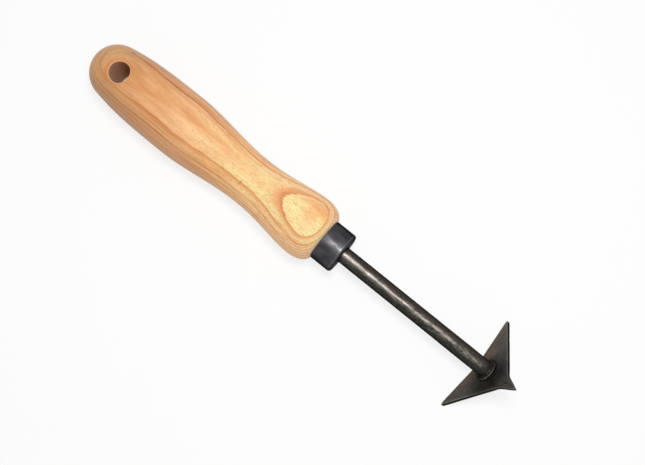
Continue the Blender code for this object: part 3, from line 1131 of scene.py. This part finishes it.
    def build(self) -> bpy.types.Object:
        """Builds the bar as one turned skin, squared at the tang and carried round the bend.

        Returns:
            The bar, not yet dressed.
        """
        shell = Shell()
        profile = self.profile()
        points = self.bent(self.hammered(self.squared(turned(profile, self.segments))))
        index = shell.add(points)
        shell.quads.append(net(index))
        shell.close(index[0], tuple(points[0].mean(axis=0)))
        shell.close(index[-1], tuple(points[-1].mean(axis=0)))
        piece = shell.piece("forged_shaft", self.axis)
        for name, values in self.marks(profile).items():
            shell.write(piece, name, values)
        return piece

    def dress(self, piece: bpy.types.Object) -> None:
        """Gives the bar its forged steel.

        Args:
            piece: the object that `build` made.
        """
        finish = ForgedSteel("carbon_steel_bar_with_scale", ground="b4b2ae", ground_dark="6c6965")
        piece.data.materials.append(finish.material())
        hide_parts("shaft")


@dataclass(frozen=True)
class PlateWear:
    """How bare, sooty and brown the blade is from place to place.

    Each value is a share from 0 to 1, apart from the lengths.
    """

    # The front's start and how soon it is full, as shares of the plate's thickness, and the
    # edge's sides, from where the bevel starts (0) to the outline (1)
    front: tuple[float, float] = (0.5, 0.35)
    edge_start: float = -0.3
    lip_end: float = 0.4
    arris_end: float = 0.9
    # Bare steel on the back: everywhere, more at the +Y wing's tip, less at the other's, and
    # along the filed edges, with their width
    back_bare: float = 0.22
    tip_more: float = 0.5
    tip_less: float = 0.175
    filed: float = 0.46
    filed_width: float = 1.1 * MM
    # Bare steel on the front: everywhere, in a hammer mark, along its rim, as a painted highlight
    # on the nose's ridge, on the lip, and on the rubbed tips; the rim's width is a share of its
    # radius
    front_bare: float = 0.3
    struck: float = 0.4
    strike_rim: float = 0.3
    strike_rim_width: float = 0.12
    ridge_highlight: float = 0.75
    lip: float = 0.93
    tip: float = 0.9
    # The ridge's painted highlight: half its width, how much wider it is by the head, from where on
    # it narrows and over what run, and where it starts and over what run
    ridge_highlight_half: float = 2.7 * MM
    head_wider: float = 0.8
    narrows: tuple[float, float] = (6 * MM, 3.5 * MM)
    ridge_highlight_start: tuple[float, float] = (3 * MM, 3 * MM)
    # Soot and painted shade: soot on the edge, darkened further as painted shade, and how much less
    # towards the front; painted shade on the back near the collar, with its reach and run; painted
    # shade in a ring round the head, with its radius and width; and soot on the black tip
    side_soot_and_shade: float = 0.9
    side_less: float = 0.3
    back_shade: float = 0.66
    back_shade_run: tuple[float, float] = (5 * MM, 12 * MM)
    head_ring_shade: float = 0.75
    head_ring_place: tuple[float, float] = (6.0 * MM, 0.5 * MM)
    tip_soot: float = 0.75
    # Brown: how far ahead of a wing's middle line it starts, over what run it is full, and
    # how much less brown the -Y wing is
    brown_run: tuple[float, float] = (2.5 * MM, 5 * MM)
    brown_less: float = 0.5


@dataclass
class Blade:
    """The forged star: a nose and two wings round the tenon.

    Its own plane has `across` along Y and `along` towards the nose, from the tenon's middle.
    """

    axis: ToolAxis
    shaft: Shaft
    edge_bevel: float = 0.3 * MM
    edge_round: float = 0.14 * MM
    nose_reach: float = 26.5 * MM
    nose_round: float = 0.4 * MM
    nose_thickness: float = 1.3 * MM
    nose_thins_from: float = 12.0 * MM
    neck_reach: float = 16.3 * MM
    neck_half: float = 3.4 * MM
    neck_blend: float = 1.5 * MM
    wing_reach: float = 24.8 * MM
    wing_setback: float = 14.3 * MM
    wing_round: float = 0.6 * MM
    notch_setback: float = 11.0 * MM
    crown_height: float = 0.9 * MM
    crown_half: float = 4.4 * MM
    crown_start: float = 6.75 * MM
    # The forging's unevenness: its depth, the cells and shares of its two noises, how far
    # round the head it starts and over what run, and the seeds of the back and the front
    uneven: float = 0.09 * MM
    wave_cells: tuple[float, float] = (5.5 * MM, 2 * MM)
    wave_shares: tuple[float, float] = (0.7, 0.3)
    wave_start: tuple[float, float] = (5.5 * MM, 4 * MM)
    wave_seeds: tuple[int, int] = (21, 31)
    # Hammer marks on the front: across, along and radius in millimetres
    strikes: tuple[tuple[float, float, float], ...] = (
        (-8.6, 3.1, 3.3),
        (-15.2, -5.1, 2.8),
        (-6.2, -3.4, 2.0),
        (7.8, -9.0, 2.4),
        (16.2, -6.4, 2.6),
        (7.4, 4.2, 3.0),
        (-18.6, -11.0, 1.9),
    )
    strike_depth: float = 0.09 * MM
    # Tips rubbed bright: across, along and reach in millimetres
    rubbed_tips: tuple[tuple[float, float, float], ...] = ((0.0, 25.9, 0.6), (-24.0, -14.2, 1.3))
    # The tip left black from the fire, in the same way
    black_tip: tuple[float, float, float] = (24.6, -14.6, 3.0)
    # The line along the middle of a wing: its start in millimetres, and its fall
    wing_line: tuple[float, float] = (2.0, 0.657)
    # The middle of the painted shade on the back: across and along in millimetres
    back_shade_middle: tuple[float, float] = (-2.5, 5.0)
    wear: PlateWear = PlateWear()
    # Points round the nose's tip, round a wing's tip and along the bend at the neck
    tip_steps: tuple[int, int] = (6, 8)
    neck_steps: int = 6
    rings: int = 60
    # Below 1, the rings lie closer together towards the outline
    ring_spread: float = 0.85
    # What a point well inside the bevel has for its place across the bevel
    far_in: float = -9.0
    point_gap: float = 0.3 * MM

    @staticmethod
    def touch(centre: np.ndarray, radius: float, point: np.ndarray, side: int) -> float:
        """The angle on a circle where a line from an outside point touches it."""
        away = point - centre
        return math.atan2(away[1], away[0]) + side * math.acos(radius / np.hypot(*away))

    def outline(self) -> np.ndarray:
        """The star's closed outline, starting at the nose's tip and going round by +Y.

        Returns:
            Across and along of each point.
        """
        nose = np.array([0.0, self.nose_reach - self.nose_round])
        neck = np.array([self.neck_half, self.neck_reach])
        wing = np.array([self.wing_reach - self.wing_round, -self.wing_setback])
        notch = np.array([0.0, -self.notch_setback])
        on_nose, on_wing = self.tip_steps
        turn = self.touch(nose, self.nose_round, neck, 1)
        sweep = np.linspace(math.pi / 2, turn, on_nose)[:, None]
        nose_arc = nose + self.nose_round * np.hstack([np.cos(sweep), np.sin(sweep)])
        first = self.touch(wing, self.wing_round, neck, -1)
        last = self.touch(wing, self.wing_round, notch, 1) - 2 * math.pi
        sweep = np.linspace(first, last, on_wing)[:, None]
        wing_arc = wing + self.wing_round * np.hstack([np.cos(sweep), np.sin(sweep)])
        run_in = rounded([nose_arc[-1], neck, wing_arc[0]], self.neck_blend, self.neck_steps)
        right = np.vstack([nose_arc, run_in[1:-1], wing_arc, [notch]])
        right = spaced(right, self.point_gap)
        return np.vstack([right, (right * [-1, 1])[-2:0:-1]])

    def crown(self, plane: np.ndarray) -> np.ndarray:
        """How far the nose is pressed forward: a round ridge along it that fades by the head."""
        along = ease((plane[..., 1] - self.crown_start) / (self.neck_reach - self.crown_start))
        return self.crown_height * along * (1 - ease(np.abs(plane[..., 0]) / self.crown_half))

    def thickness(self, plane: np.ndarray) -> np.ndarray:
        """The plate's thickness, which falls evenly along the nose to its tip.

        Args:
            plane: where each point lies in the plate's plane.

        Returns:
            One thickness for each point.
        """
        share = (plane[..., 1] - self.nose_thins_from) / (self.nose_reach - self.nose_thins_from)
        full = self.shaft.blade_thickness
        return full - (full - self.nose_thickness) * np.clip(share, 0, 1)

    def struck(self, plane: np.ndarray) -> np.ndarray:
        """How far each point lies from the nearest hammer mark, in units of the mark's radius.

        Args:
            plane: where each point lies in the plate's plane.

        Returns:
            One share for each point, below 1 inside a mark.
        """
        reach = [
            np.hypot(plane[..., 0] - x * MM, plane[..., 1] - y * MM) / (r * MM)
            for x, y, r in self.strikes
        ]
        return np.min(reach, axis=0)

    def hollows(self, plane: np.ndarray, seed: int) -> np.ndarray:
        """How deep the forging lies below flat, away from the head: rolling noise, 0 or more.

        Args:
            plane: where each point lies in the plate's plane.
            seed: picks the noise.

        Returns:
            One depth for each point.
        """
        spot = np.concatenate([plane, np.zeros(plane.shape[:-1] + (1,))], axis=-1)
        waves = sum(
            share * rolling_noise(spot, cell, seed + number)
            for number, (cell, share) in enumerate(zip(self.wave_cells, self.wave_shares))
        )
        start, run = self.wave_start
        away = ease((np.hypot(plane[..., 0], plane[..., 1]) - start) / run)
        return self.uneven * away * (1 + waves)

    def build(self) -> bpy.types.Object:
        """Builds the star from rings that run out over the back, round the edge and in again.

        A ring's point is a mix of the tenon hole's and the outline's point in the same
        direction. The edge's section is a square edge with a straight bevel, whose corners
        are rounded a little.

        Returns:
            The star, not yet dressed.
        """
        outline = self.outline()
        reach = np.linalg.norm(outline, axis=1, keepdims=True)
        hole = outline / reach * (self.shaft.tenon_radius + FIT_GAP)
        drawn = outline * (1 - self.edge_bevel / reach.min())
        full, bevel = self.shaft.blade_thickness, self.edge_bevel
        corners = [(-2 * bevel, 0), (0, 0), (bevel, bevel), (bevel, full - bevel), (0, full)]
        edge = spaced(rounded(corners + [(-2 * bevel, full)], self.edge_round, 3), self.point_gap)
        inward = np.linspace(0, 1, self.rings, endpoint=False) ** self.ring_spread
        last = drawn - 2 * (outline - drawn)
        inner = hole + (last - hole) * inward[:, None, None]
        rim = drawn + (outline - drawn) * (edge[:, 0] / bevel)[:, None, None]
        plane = np.concatenate([inner, rim, inner[::-1]])
        depth = np.concatenate([0 * inward, edge[:, 1], full + 0 * inward])[:, None] / full
        behind, ahead = self.wave_seeds
        sink = self.hollows(plane, behind) * (1 - depth) ** 2
        sink = sink - self.hollows(plane, ahead) * depth**2
        # A hammer mark is a bowl, whose depth falls off with the square of the distance
        bowl = np.clip(1 - self.struck(plane) ** 2, 0, 1)
        sink = sink - self.strike_depth * bowl * depth**2
        level = depth * self.thickness(plane) + self.crown(plane) + sink
        bar = np.stack([self.shaft.blade_back + level, plane[..., 0], plane[..., 1]], axis=-1)
        shell = Shell()
        index = shell.add(self.shaft.bent(bar))
        shell.quads.append(net(index, rows_close=True))
        piece = shell.piece("forged_blade", self.axis)
        far_in = np.full(self.rings, self.far_in)
        out = np.concatenate([far_in, edge[:, 0] / bevel, far_in])[:, None]
        for name, values in self.marks(plane, depth, out).items():
            shell.write(piece, name, np.broadcast_to(values, plane.shape[:2]))
        return piece

    def marks(self, plane: np.ndarray, depth: np.ndarray, out: np.ndarray) -> dict[str, np.ndarray]:
        """How bare and ground each point is, and how dark with soot and painted shade, from 0 to 1,
        and browned, from -1 to 1.

        A hammer mark is rubbed all over and most along its rim. Two tips are rubbed bright and the
        third is black, by e^-(distance/reach)². A painted highlight runs along the nose's ridge,
        falling off to either side by e^-(across/half)², and wider where it meets the head. On the
        back the wings' front edges are filed, and the wing towards +Y is rubbed more to its tip.
        Painted shade darkens a ring round the head on the front and a wider patch near the collar
        on the back, and the edge faces are sooty and darker still with painted shade. Each wing is
        browner behind the line from the tenon to its tip, and greyer ahead of it, and the wing
        towards -Y is less brown.

        Args:
            plane: where each point lies in the plate's plane.
            depth: 0 on the back, 1 on the front.
            out: 0 where the bevel starts, 1 on the outline.

        Returns:
            The four values for every point.
        """
        wear = self.wear
        across, along = plane[..., 0], plane[..., 1]
        start, run = wear.front
        front = ease((depth - start) / run)
        *tips, black = [
            bell(np.hypot(across - x * MM, along - y * MM), reach * MM)
            for x, y, reach in (*self.rubbed_tips, self.black_tip)
        ]
        # A painted highlight along the nose's ridge
        start, run = wear.narrows
        half = wear.ridge_highlight_half * (1 + wear.head_wider * (1 - ease((along - start) / run)))
        start, run = wear.ridge_highlight_start
        ridge_highlight = bell(across, half) * ease((along - start) / run)
        fall, width = self.neck_reach + self.wing_setback, self.wing_reach - self.neck_half
        inside = fall * (self.neck_half - np.abs(across)) + width * (self.neck_reach - along)
        filed = bell(inside / math.hypot(fall, width), wear.filed_width)
        reach = self.struck(plane)
        marked = wear.struck * (1 - ease(2 * reach - 1))
        marked = marked + wear.strike_rim * bell(reach - 1, wear.strike_rim_width)
        outward = wear.tip_more * ease(across / self.wing_reach) ** 2
        outward = outward - wear.tip_less * ease(-across / self.wing_reach)
        arris, lip = [
            (out > wear.edge_start) & (out < end) for end in (wear.arris_end, wear.lip_end)
        ]
        bare = [
            wear.back_bare + outward,
            wear.filed * np.maximum(arris, filed),
            front * np.minimum(wear.front_bare + marked + wear.ridge_highlight * ridge_highlight, 1.0),
            wear.lip * front * lip,
            *(wear.tip * tip for tip in tips),
        ]
        # Painted shade: on the back near the collar, in a ring round the head on the front, and
        # deepening the soot on the edge faces
        x, y = self.back_shade_middle
        start, run = wear.back_shade_run
        spread = ease((np.hypot(across - x * MM, along - y * MM) - start) / run)
        round_head, half = wear.head_ring_place
        soot_and_shade = [
            (out > wear.arris_end) * (wear.side_soot_and_shade - wear.side_less * front),
            wear.back_shade * (1 - front) * (1 - spread),
            wear.head_ring_shade * front * bell(np.hypot(across, along) - round_head, half),
            wear.tip_soot * front * black,
        ]
        start, slope = self.wing_line
        lead, run = wear.brown_run
        behind = ease((start * MM - slope * np.abs(across) - along + lead) / run)
        return {
            "bare": np.max(np.broadcast_arrays(*bare), axis=0),
            "soot_and_shade": np.max(np.broadcast_arrays(*soot_and_shade), axis=0),
            "browned": 2 * behind - 1 - wear.brown_less * (across < 0),
            "ground": front,
        }

    def dress(self, piece: bpy.types.Object) -> None:
        """Gives the star its forged steel.

        Args:
            piece: the object that `build` made.
        """
        finish = ForgedSteel(
            "carbon_steel_plate_with_scale",
            scale="585855",
            brown="6a584e",
            flake="646461",
            bare="746d66",
            bright="efedea",
            ground="cbc2bc",
            ground_dark="625a55",
            # The plate's scale breaks in round patches, and its grit, which is as fine as the
            # rod's and would not show either, is drawn coarser still
            patch=(7 * MM, 7 * MM, 7 * MM),
            grit=(0.7 * MM, 0.7 * MM, 0.7 * MM),
            cover=0.68,
            softness=0.34,
        )
        piece.data.materials.append(finish.material())
        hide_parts("blade")


@dataclass
class Handle:
    """The turned ash handle with its spigot, bore and hang hole."""

    axis: ToolAxis
    ferrule: Ferrule
    shaft: Shaft
    length: float = 138.5 * MM
    bulge_radius: float = 15.46 * MM
    bulge_distance: float = 9.7 * MM
    waist_radius: float = 12.3 * MM
    waist_distance: float = 43.4 * MM
    grip_radius: float = 15.88 * MM
    grip_distance: float = 85.4 * MM
    butt_radius: float = 13.5 * MM
    butt_slope: float = 0.2
    front_flank: float = 1.2
    hole_radius: float = 5.15 * MM
    hole_to_butt: float = 18.1 * MM
    hole_breaks: tuple[float, float] = (0.4 * MM, 0.12 * MM)
    edge_break: float = 0.25 * MM
    pole_radius: float = 0.02 * MM
    core_gap: float = 1.2 * MM
    # Places where the skin's shape is worked out: on the shoulder, the grip and the butt
    skin_steps: tuple[int, int, int] = (60, 900, 90)
    # Rows of points round each end of the hang hole's wall, and down the wall
    wall_steps: tuple[int, int] = (6, 40)
    segments: int = 220
    row_gap: float = 0.44 * MM
    hole_half: int = 12
    warp_half: int = 22
    # Growth rings: the heights at which each ends, and how far the trunk bends along the
    # handle, every 15 mm from the butt to the ferrule
    ring_heights: tuple[float, ...] = (
        -18.0, -16.1, -14.3, -12.6, -10.8, -9.0, -7.1, -5.0, -3.4, -1.6,
        0.3, 2.0, 3.9, 5.6, 7.72, 9.2, 10.85, 13.0, 14.85, 16.8, 20.0,
    )
    ring_lean: float = 0.2435
    ring_curve: float = 0.0199
    ring_tilt: float = math.radians(15)
    trunk_bend: tuple[float, ...] = (-1.2, 0.6, 2.45, 2.6, 2.05, -0.10, -1.53, -0.85, 0.06, -0.56)
    trunk_start: float = -135.12 * MM
    trunk_step: float = 15.0 * MM
    trunk_blur: float = 13.0 * MM
    ring_wave: float = 0.12
    ring_wave_seed: int = 41
    ring_wave_cell: Size = (24 * MM, 6 * MM, 6 * MM)
    sap_start: float = 88.0 * MM
    sap_blend: float = 55.0 * MM
    sap_facing: tuple[float, float] = (0.72, 0.99)

    def core_profile(self) -> np.ndarray:
        """From the bore's blind end to the face behind the ferrule.

        Returns:
            Station and radius of each point.
        """
        shaft, ferrule = self.shaft, self.ferrule
        tip = shaft.tang_half(-shaft.tang_length) * shaft.corner_reach + FIT_GAP
        bore = shaft.rod_radius + FIT_GAP
        front = ferrule.length - ferrule.face_wall - FIT_GAP
        spigot = ferrule.radius - ferrule.wall - FIT_GAP
        corners = [
            (-shaft.tang_length - FIT_GAP, self.pole_radius),
            (-shaft.tang_length - FIT_GAP, tip),
            (-shaft.tang_length + shaft.tang_taper, bore),
            (front, bore),
            (front, spigot),
            (-FIT_GAP, spigot),
            (-FIT_GAP, ferrule.radius),
            (-2 * FIT_GAP, ferrule.radius),
        ]
        return spaced(rounded(corners, self.edge_break)[:-1], self.core_gap)

    def skin_radius(self, station: np.ndarray) -> np.ndarray:
        """The outer radius at a station.

        A quarter ellipse rises from the ferrule to the bulge, two eased curves go down to the
        waist and up to the grip, a cubic narrows towards the butt, and a circle closes it.

        Args:
            station: places along the handle.

        Returns:
            One radius for each station.
        """
        back = -station
        quarter = np.clip((self.bulge_distance - back) / (self.bulge_distance - FIT_GAP), 0, 1)
        shoulder_rise = self.bulge_radius - self.ferrule.radius
        shoulder = self.ferrule.radius + shoulder_rise * np.sqrt(1 - quarter**2)
        t = (self.waist_distance - back) / (self.waist_distance - self.bulge_distance)
        front = ease(np.clip(t, 0, 1) ** self.front_flank)
        front = self.waist_radius + (self.bulge_radius - self.waist_radius) * front
        rear = ease((back - self.waist_distance) / (self.grip_distance - self.waist_distance))
        rear = self.waist_radius + (self.grip_radius - self.waist_radius) * rear
        lean = math.atan(self.butt_slope)
        centre = self.length - self.butt_radius
        join = centre + self.butt_radius * math.sin(lean)
        join_radius = self.butt_radius * math.cos(lean)
        span = join - self.grip_distance
        t = np.clip((back - self.grip_distance) / span, 0, 1)
        taper = (1 + 2 * t) * (1 - t) ** 2 * self.grip_radius + t * t * (3 - 2 * t) * join_radius
        taper = taper + t * t * (1 - t) * span * self.butt_slope
        butt = np.sqrt(np.clip(self.butt_radius**2 - (back - centre) ** 2, 0, None))
        bands = [self.bulge_distance, self.waist_distance, self.grip_distance, join]
        return np.select([back < edge for edge in bands], [shoulder, front, rear, taper], butt)

    def skin_profile(self) -> np.ndarray:
        """Evenly spaced points over the skin, from the ferrule to the butt's last ring.

        Returns:
            Station and radius of each point.
        """
        on_shoulder, on_grip, on_butt = self.skin_steps
        front = np.linspace(0, np.pi / 2, on_shoulder)
        span = self.bulge_distance - FIT_GAP
        station = [-self.bulge_distance + span * np.cos(front)]
        butt_start = self.length - self.butt_radius
        station.append(-np.linspace(self.bulge_distance, butt_start, on_grip)[1:])
        end = np.linspace(0, np.pi / 2, on_butt)[1:-1]
        station.append(-self.length + self.butt_radius * (1 - np.sin(end)))
        station = np.concatenate(station)
        line = np.stack([station, self.skin_radius(station)], axis=1)
        line[0] = (-FIT_GAP, self.ferrule.radius)
        return spaced(line, self.row_gap, keep_corners=False)

    def hole_rings(
        self, rows: np.ndarray, points: np.ndarray, end: HoleEnd
    ) -> tuple[np.ndarray, np.ndarray]:
        """Opens a round mouth in the skin's grid and returns which points are gone.

        Square rings of grid points, each one step larger than the last, surround the mouth.
        The ring `hole_half` steps out becomes a circle in plan, the ring `warp_half` steps
        out stays, and those between are a mix of the two. The height follows the skin.

        Args:
            rows: station and radius of each grid row.
            points: the skin's points, which this changes.
            end: which mouth to open.

        Returns:
            A mask of the points inside the mouth, and the rows and columns of the rim in order.
        """
        centre = -self.length + self.hole_to_butt
        middle = int(np.argmin(np.abs(rows[:, 0] - centre)))
        half = self.segments // 2
        column = np.arange(self.segments) + (0 if end is HoleEnd.TOP else half)
        sideways = (column + half) % self.segments - half
        a = np.broadcast_to(np.arange(len(rows))[:, None] - middle, points.shape[:2])
        b = np.broadcast_to(sideways * end.value, points.shape[:2])
        ring = np.maximum(np.abs(a), np.abs(b))
        near = (ring >= self.hole_half) & (ring <= self.warp_half)
        a, b, size = a[near], b[near], ring[near]
        # Rows run towards the butt, so a step of +1 is a step towards -X.
        quarter = np.pi / 4
        by_row = np.where(a > 0, np.pi - quarter * b / size, quarter * b / size)
        by_side = np.sign(b) * (np.pi / 2 + quarter * a / size)
        angle = np.where(np.abs(a) == size, by_row, by_side)
        mouth = self.hole_radius + self.hole_breaks[0 if end is HoleEnd.TOP else 1]
        circle = np.stack([centre + mouth * np.cos(angle), mouth * np.sin(angle)], axis=1)
        at_row = middle + self.warp_half * a / size
        station = np.interp(at_row, np.arange(len(rows)), rows[:, 0])
        turn = self.warp_half * b / size * 2 * np.pi / self.segments
        square = np.stack([station, self.skin_radius(station) * np.sin(turn)], axis=1)
        share = ((size - self.hole_half) / (self.warp_half - self.hole_half))[:, None]
        plan = circle + (square - circle) * share
        up = np.sqrt(self.skin_radius(plan[:, 0]) ** 2 - plan[:, 1] ** 2)
        points[near] = np.column_stack([plan, up * end.value])
        on_rim = np.argwhere(ring == self.hole_half)
        rim_points = points[on_rim[:, 0], on_rim[:, 1]]
        order = np.argsort(np.arctan2(rim_points[:, 1], rim_points[:, 0] - centre))
        return ring < self.hole_half, on_rim[order]

    def hole_wall(self, top: np.ndarray, bottom: np.ndarray) -> np.ndarray:
        """The rows of points from one rim to the other, without the rims.

        Each end rolls over from the skin to the wall along a quarter circle, and between
        them the wall is straight.

        Args:
            top: the upper rim's points, in order round the hole.
            bottom: the lower rim's points, in the same order.

        Returns:
            The rows from the top down.
        """
        centre = np.array([-self.length + self.hole_to_butt, 0.0])
        round_end, down = self.wall_steps
        turn = np.linspace(0, np.pi / 2, round_end)[1:, None]
        away = (top[:, :2] - centre) / np.linalg.norm(top[:, :2] - centre, axis=1, keepdims=True)
        above, below = self.hole_breaks
        reach, drop = 1 - np.sin(turn)[..., None], 1 - np.cos(turn)
        upper = centre + away * (self.hole_radius + above * reach)
        lower = centre + away * (self.hole_radius + below * reach)
        upper = np.dstack([upper, top[:, 2] - above * drop])
        lower = np.dstack([lower, bottom[:, 2] + below * drop])[::-1]
        share = np.linspace(0, 1, down)[1:-1, None, None]
        wall = upper[-1] + (lower[0] - upper[-1]) * share
        return np.concatenate([upper, wall, lower])

    def ring_numbers(self, points: np.ndarray) -> np.ndarray:
        """Which growth ring each point lies in, as a number that grows by one in each ring.

        A point's height in the trunk is its z plus a share of its y, plus a share of the
        square of its distance sideways, less the trunk's bend at its station. The bend is the
        mean of the given heights, weighted by e^-(distance/blur)². A slow wave is added, and
        the height is looked up among the heights where rings end.

        Args:
            points: places on the handle.

        Returns:
            One number for each point.
        """
        station, y, z = points[:, 0], points[:, 1] / MM, points[:, 2] / MM
        sideways = y * math.cos(self.ring_tilt) - z * math.sin(self.ring_tilt)
        knots = self.trunk_start + self.trunk_step * np.arange(len(self.trunk_bend))
        weight = bell(station[:, None] - knots, self.trunk_blur)
        bend = weight @ np.array(self.trunk_bend) / weight.sum(axis=1).clip(1e-9)
        wave = self.ring_wave * rolling_noise(points, self.ring_wave_cell, self.ring_wave_seed)
        height = z + self.ring_lean * y + self.ring_curve * sideways**2 - bend + wave
        return np.interp(height, self.ring_heights, np.arange(len(self.ring_heights)))

    def sapwood(self, points: np.ndarray) -> np.ndarray:
        """How much of the trunk's pale outer wood shows: on top, from the waist forwards.

        Two eased rises, one with the station and one with the share of the radius that
        points straight up, are multiplied.

        Args:
            points: places on the handle.

        Returns:
            0 to 1 for each point.
        """
        forward = ease((points[:, 0] + self.sap_start) / self.sap_blend)
        low, high = self.sap_facing
        upward = points[:, 2] / np.hypot(points[:, 1], points[:, 2]).clip(MM)
        return forward * ease((upward - low) / (high - low))

    def build(self) -> bpy.types.Object:
        """Builds the handle: one turned grid with the hang hole let into it.

        Returns:
            The handle, not yet dressed.
        """
        core, skin = self.core_profile(), self.skin_profile()
        rows = np.vstack([core[:-1], skin[:-1]])
        points = turned(rows, self.segments)
        skin_rows = points[len(core) - 1 :]
        gone_top, rim_top = self.hole_rings(skin[:-1], skin_rows, HoleEnd.TOP)
        gone_bottom, rim_bottom = self.hole_rings(skin[:-1], skin_rows, HoleEnd.BOTTOM)
        shell = Shell()
        index = shell.add(points)
        quads = net(index)
        gone = np.zeros(points.shape[:2], bool)
        gone[len(core) - 1 :] = gone_top | gone_bottom
        inner = index[len(core) - 1 :]
        shell.quads.append(quads[~gone.ravel()[quads].any(axis=1)])
        top = inner[rim_top[:, 0], rim_top[:, 1]]
        bottom = inner[rim_bottom[:, 0], rim_bottom[:, 1]]
        flat = points.reshape(-1, 3)
        wall = shell.add(self.hole_wall(flat[top], flat[bottom]))
        shell.quads.append(net(np.vstack([top[None], wall, bottom[None]])))
        shell.close(index[0], (core[0, 0], 0.0, 0.0))
        shell.close(index[-1], (-self.length, 0.0, 0.0))
        piece = shell.piece("ash_handle", self.axis)
        shell.write(piece, "ring", self.ring_numbers(shell.points))
        shell.write(piece, "sap", self.sapwood(shell.points))
        return piece

    def dress(self, piece: bpy.types.Object) -> None:
        """Gives the handle its oiled ash.

        Args:
            piece: the object that `build` made.
        """
        origin = Vector((self.axis.start, 0.0, self.axis.height))
        hole = origin + Vector((-self.length + self.hole_to_butt, 0.0, 0.0))
        finish = OiledAsh(origin, self.length, hole, self.hole_radius)
        piece.data.materials.append(finish.material())
        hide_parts("handle")


@dataclass
class Studio:
    """The white table, the soft light over it and the camera."""

    target: tuple[float, float, float] = (12.905 * MM, 1.9494 * MM, 16.0 * MM)
    lean_x: float = math.radians(5.7173)
    lean_y: float = math.radians(3.4489)
    roll: float = math.radians(38.8848)
    distance: float = 0.5
    focal_pixels: float = 1088.766
    floor_half: float = 1.5
    lamp_place: tuple[float, float, float] = (0.03, 0.07, 0.575)
    lamp_aim: tuple[float, float, float] = (0.02, 0.0, 0.02)
    lamp_side: float = 0.12
    lamp_watts: float = 2.2
    room_light: float = 0.38
    card: str = "f7f7f7"
    card_roughness: float = 0.9
    table_lift: float = 0.8
    shade_reach: float = 20.0 * MM
    shade_range: tuple[float, float] = (0.28, 0.42)
    shade_samples: int = 16
    nearest_seen: float = 10 * MM

    def build_camera(self) -> None:
        """Places the camera almost straight above, rolled so that the tool lies aslant."""
        back = Vector((math.sin(self.lean_x), -math.sin(self.lean_y), 0.0))
        back.z = math.sqrt(1 - back.length_squared)
        right = Vector((math.cos(self.roll), math.sin(self.roll), 0.0))
        right = (right - back * right.dot(back)).normalized()
        up = back.cross(right)
        data = bpy.data.cameras.new("camera_above")
        data.sensor_width = SENSOR_WIDTH
        data.lens = self.focal_pixels * SENSOR_WIDTH / PICTURE_WIDTH
        data.clip_start = self.nearest_seen
        camera = bpy.data.objects.new("camera_above", data)
        bpy.context.scene.collection.objects.link(camera)
        turn = Matrix((right, up, back)).transposed().to_4x4()
        camera.matrix_world = Matrix.Translation(Vector(self.target) + back * self.distance) @ turn
        bpy.context.scene.camera = camera

    @staticmethod
    def seen(tree: Tree) -> Socket:
        """1 for rays from the camera, from gloss and through glass, and 0 for other light.

        Args:
            tree: the node tree that needs it.

        Returns:
            The output that gives it.
        """
        path = add_node(tree, "LightPath")
        direct = (path["Is Camera Ray"], path["Is Glossy Ray"])
        direct = add_node(tree, "Math", direct, operation="MAXIMUM")[0]
        both = (direct, path["Is Transmission Ray"])
        return add_node(tree, "Math", both, operation="MAXIMUM")[0]

    def build_table(self) -> None:
        """Lays the white table under the tool.

        Its own light lifts it to white for the camera, and the rest of what the camera sees
        is lit card, which keeps the tool's shadow.
        """
        half = self.floor_half
        mesh = bpy.data.meshes.new("white_table")
        corners = [(-half, -half, 0), (half, -half, 0), (half, half, 0), (-half, half, 0)]
        mesh.from_pydata(corners, [], [(0, 1, 2, 3)])
        table = bpy.data.objects.new("white_table", mesh)
        bpy.context.scene.collection.objects.link(table)
        material, tree, shader = new_material("matt_white_card")
        matt = {"Base Color": self.card, "Roughness": self.card_roughness}
        feed(tree, shader, matt | {"Specular IOR Level": 0.0})
        reach = {"Distance": self.shade_reach}
        open_sky = add_node(tree, "AmbientOcclusion", reach, samples=self.shade_samples)["AO"]
        lit = add_node(tree, "MapRange", (open_sky, *self.shade_range, 0.0, self.table_lift))[0]
        lift = add_node(tree, "Math", (self.seen(tree), lit), operation="MULTIPLY")[0]
        glow = add_node(tree, "Emission", {"Color": "ffffff", "Strength": 1.0})
        mixed = add_node(tree, "MixShader", (lift, shader.outputs[0], glow[0]))[0]
        feed(tree, tree.nodes["Material Output"], {"Surface": mixed})
        mesh.materials.append(material)

    def build_light(self) -> None:
        """Hangs one soft box above the tool and fills the rest with an even white room."""
        lamp = bpy.data.lights.new("soft_box", "AREA")
        lamp.shape = "SQUARE"
        lamp.size = self.lamp_side
        lamp.energy = self.lamp_watts
        box = bpy.data.objects.new("soft_box", lamp)
        box.location = self.lamp_place
        aim = Vector(self.lamp_aim) - box.location
        box.rotation_euler = aim.to_track_quat("-Z", "Y").to_euler()
        bpy.context.scene.collection.objects.link(box)
        world = bpy.data.worlds.new("white_room")
        bpy.context.scene.world = world
        world.use_nodes = True
        tree = world.node_tree
        shares = (self.seen(tree), 0.0, 1.0, self.room_light, 1.0)
        strength = add_node(tree, "MapRange", shares)[0]
        feed(tree, tree.nodes["Background"], {"Color": "ffffff", "Strength": strength})

    def build(self) -> None:
        """Sets up the camera, the table and the light."""
        self.build_camera()
        self.build_table()
        self.build_light()
        bpy.context.scene.view_settings.view_transform = "Standard"


def main() -> None:
    """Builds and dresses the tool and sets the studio."""
    logging.basicConfig(level=logging.INFO, format="%(name)s: %(message)s")
    axis = ToolAxis.from_ferrule()
    ferrule = Ferrule(axis)
    shaft = Shaft(axis)
    assemblies = [ferrule, shaft, Blade(axis, shaft), Handle(axis, ferrule, shaft)]
    for assembly in assemblies:
        piece = assembly.build()
        assembly.dress(piece)
        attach(piece, "root")
        LOG.info("%s: %d faces", piece.name, len(piece.data.polygons))
    Studio().build()


if __name__ == "__main__":
    main()
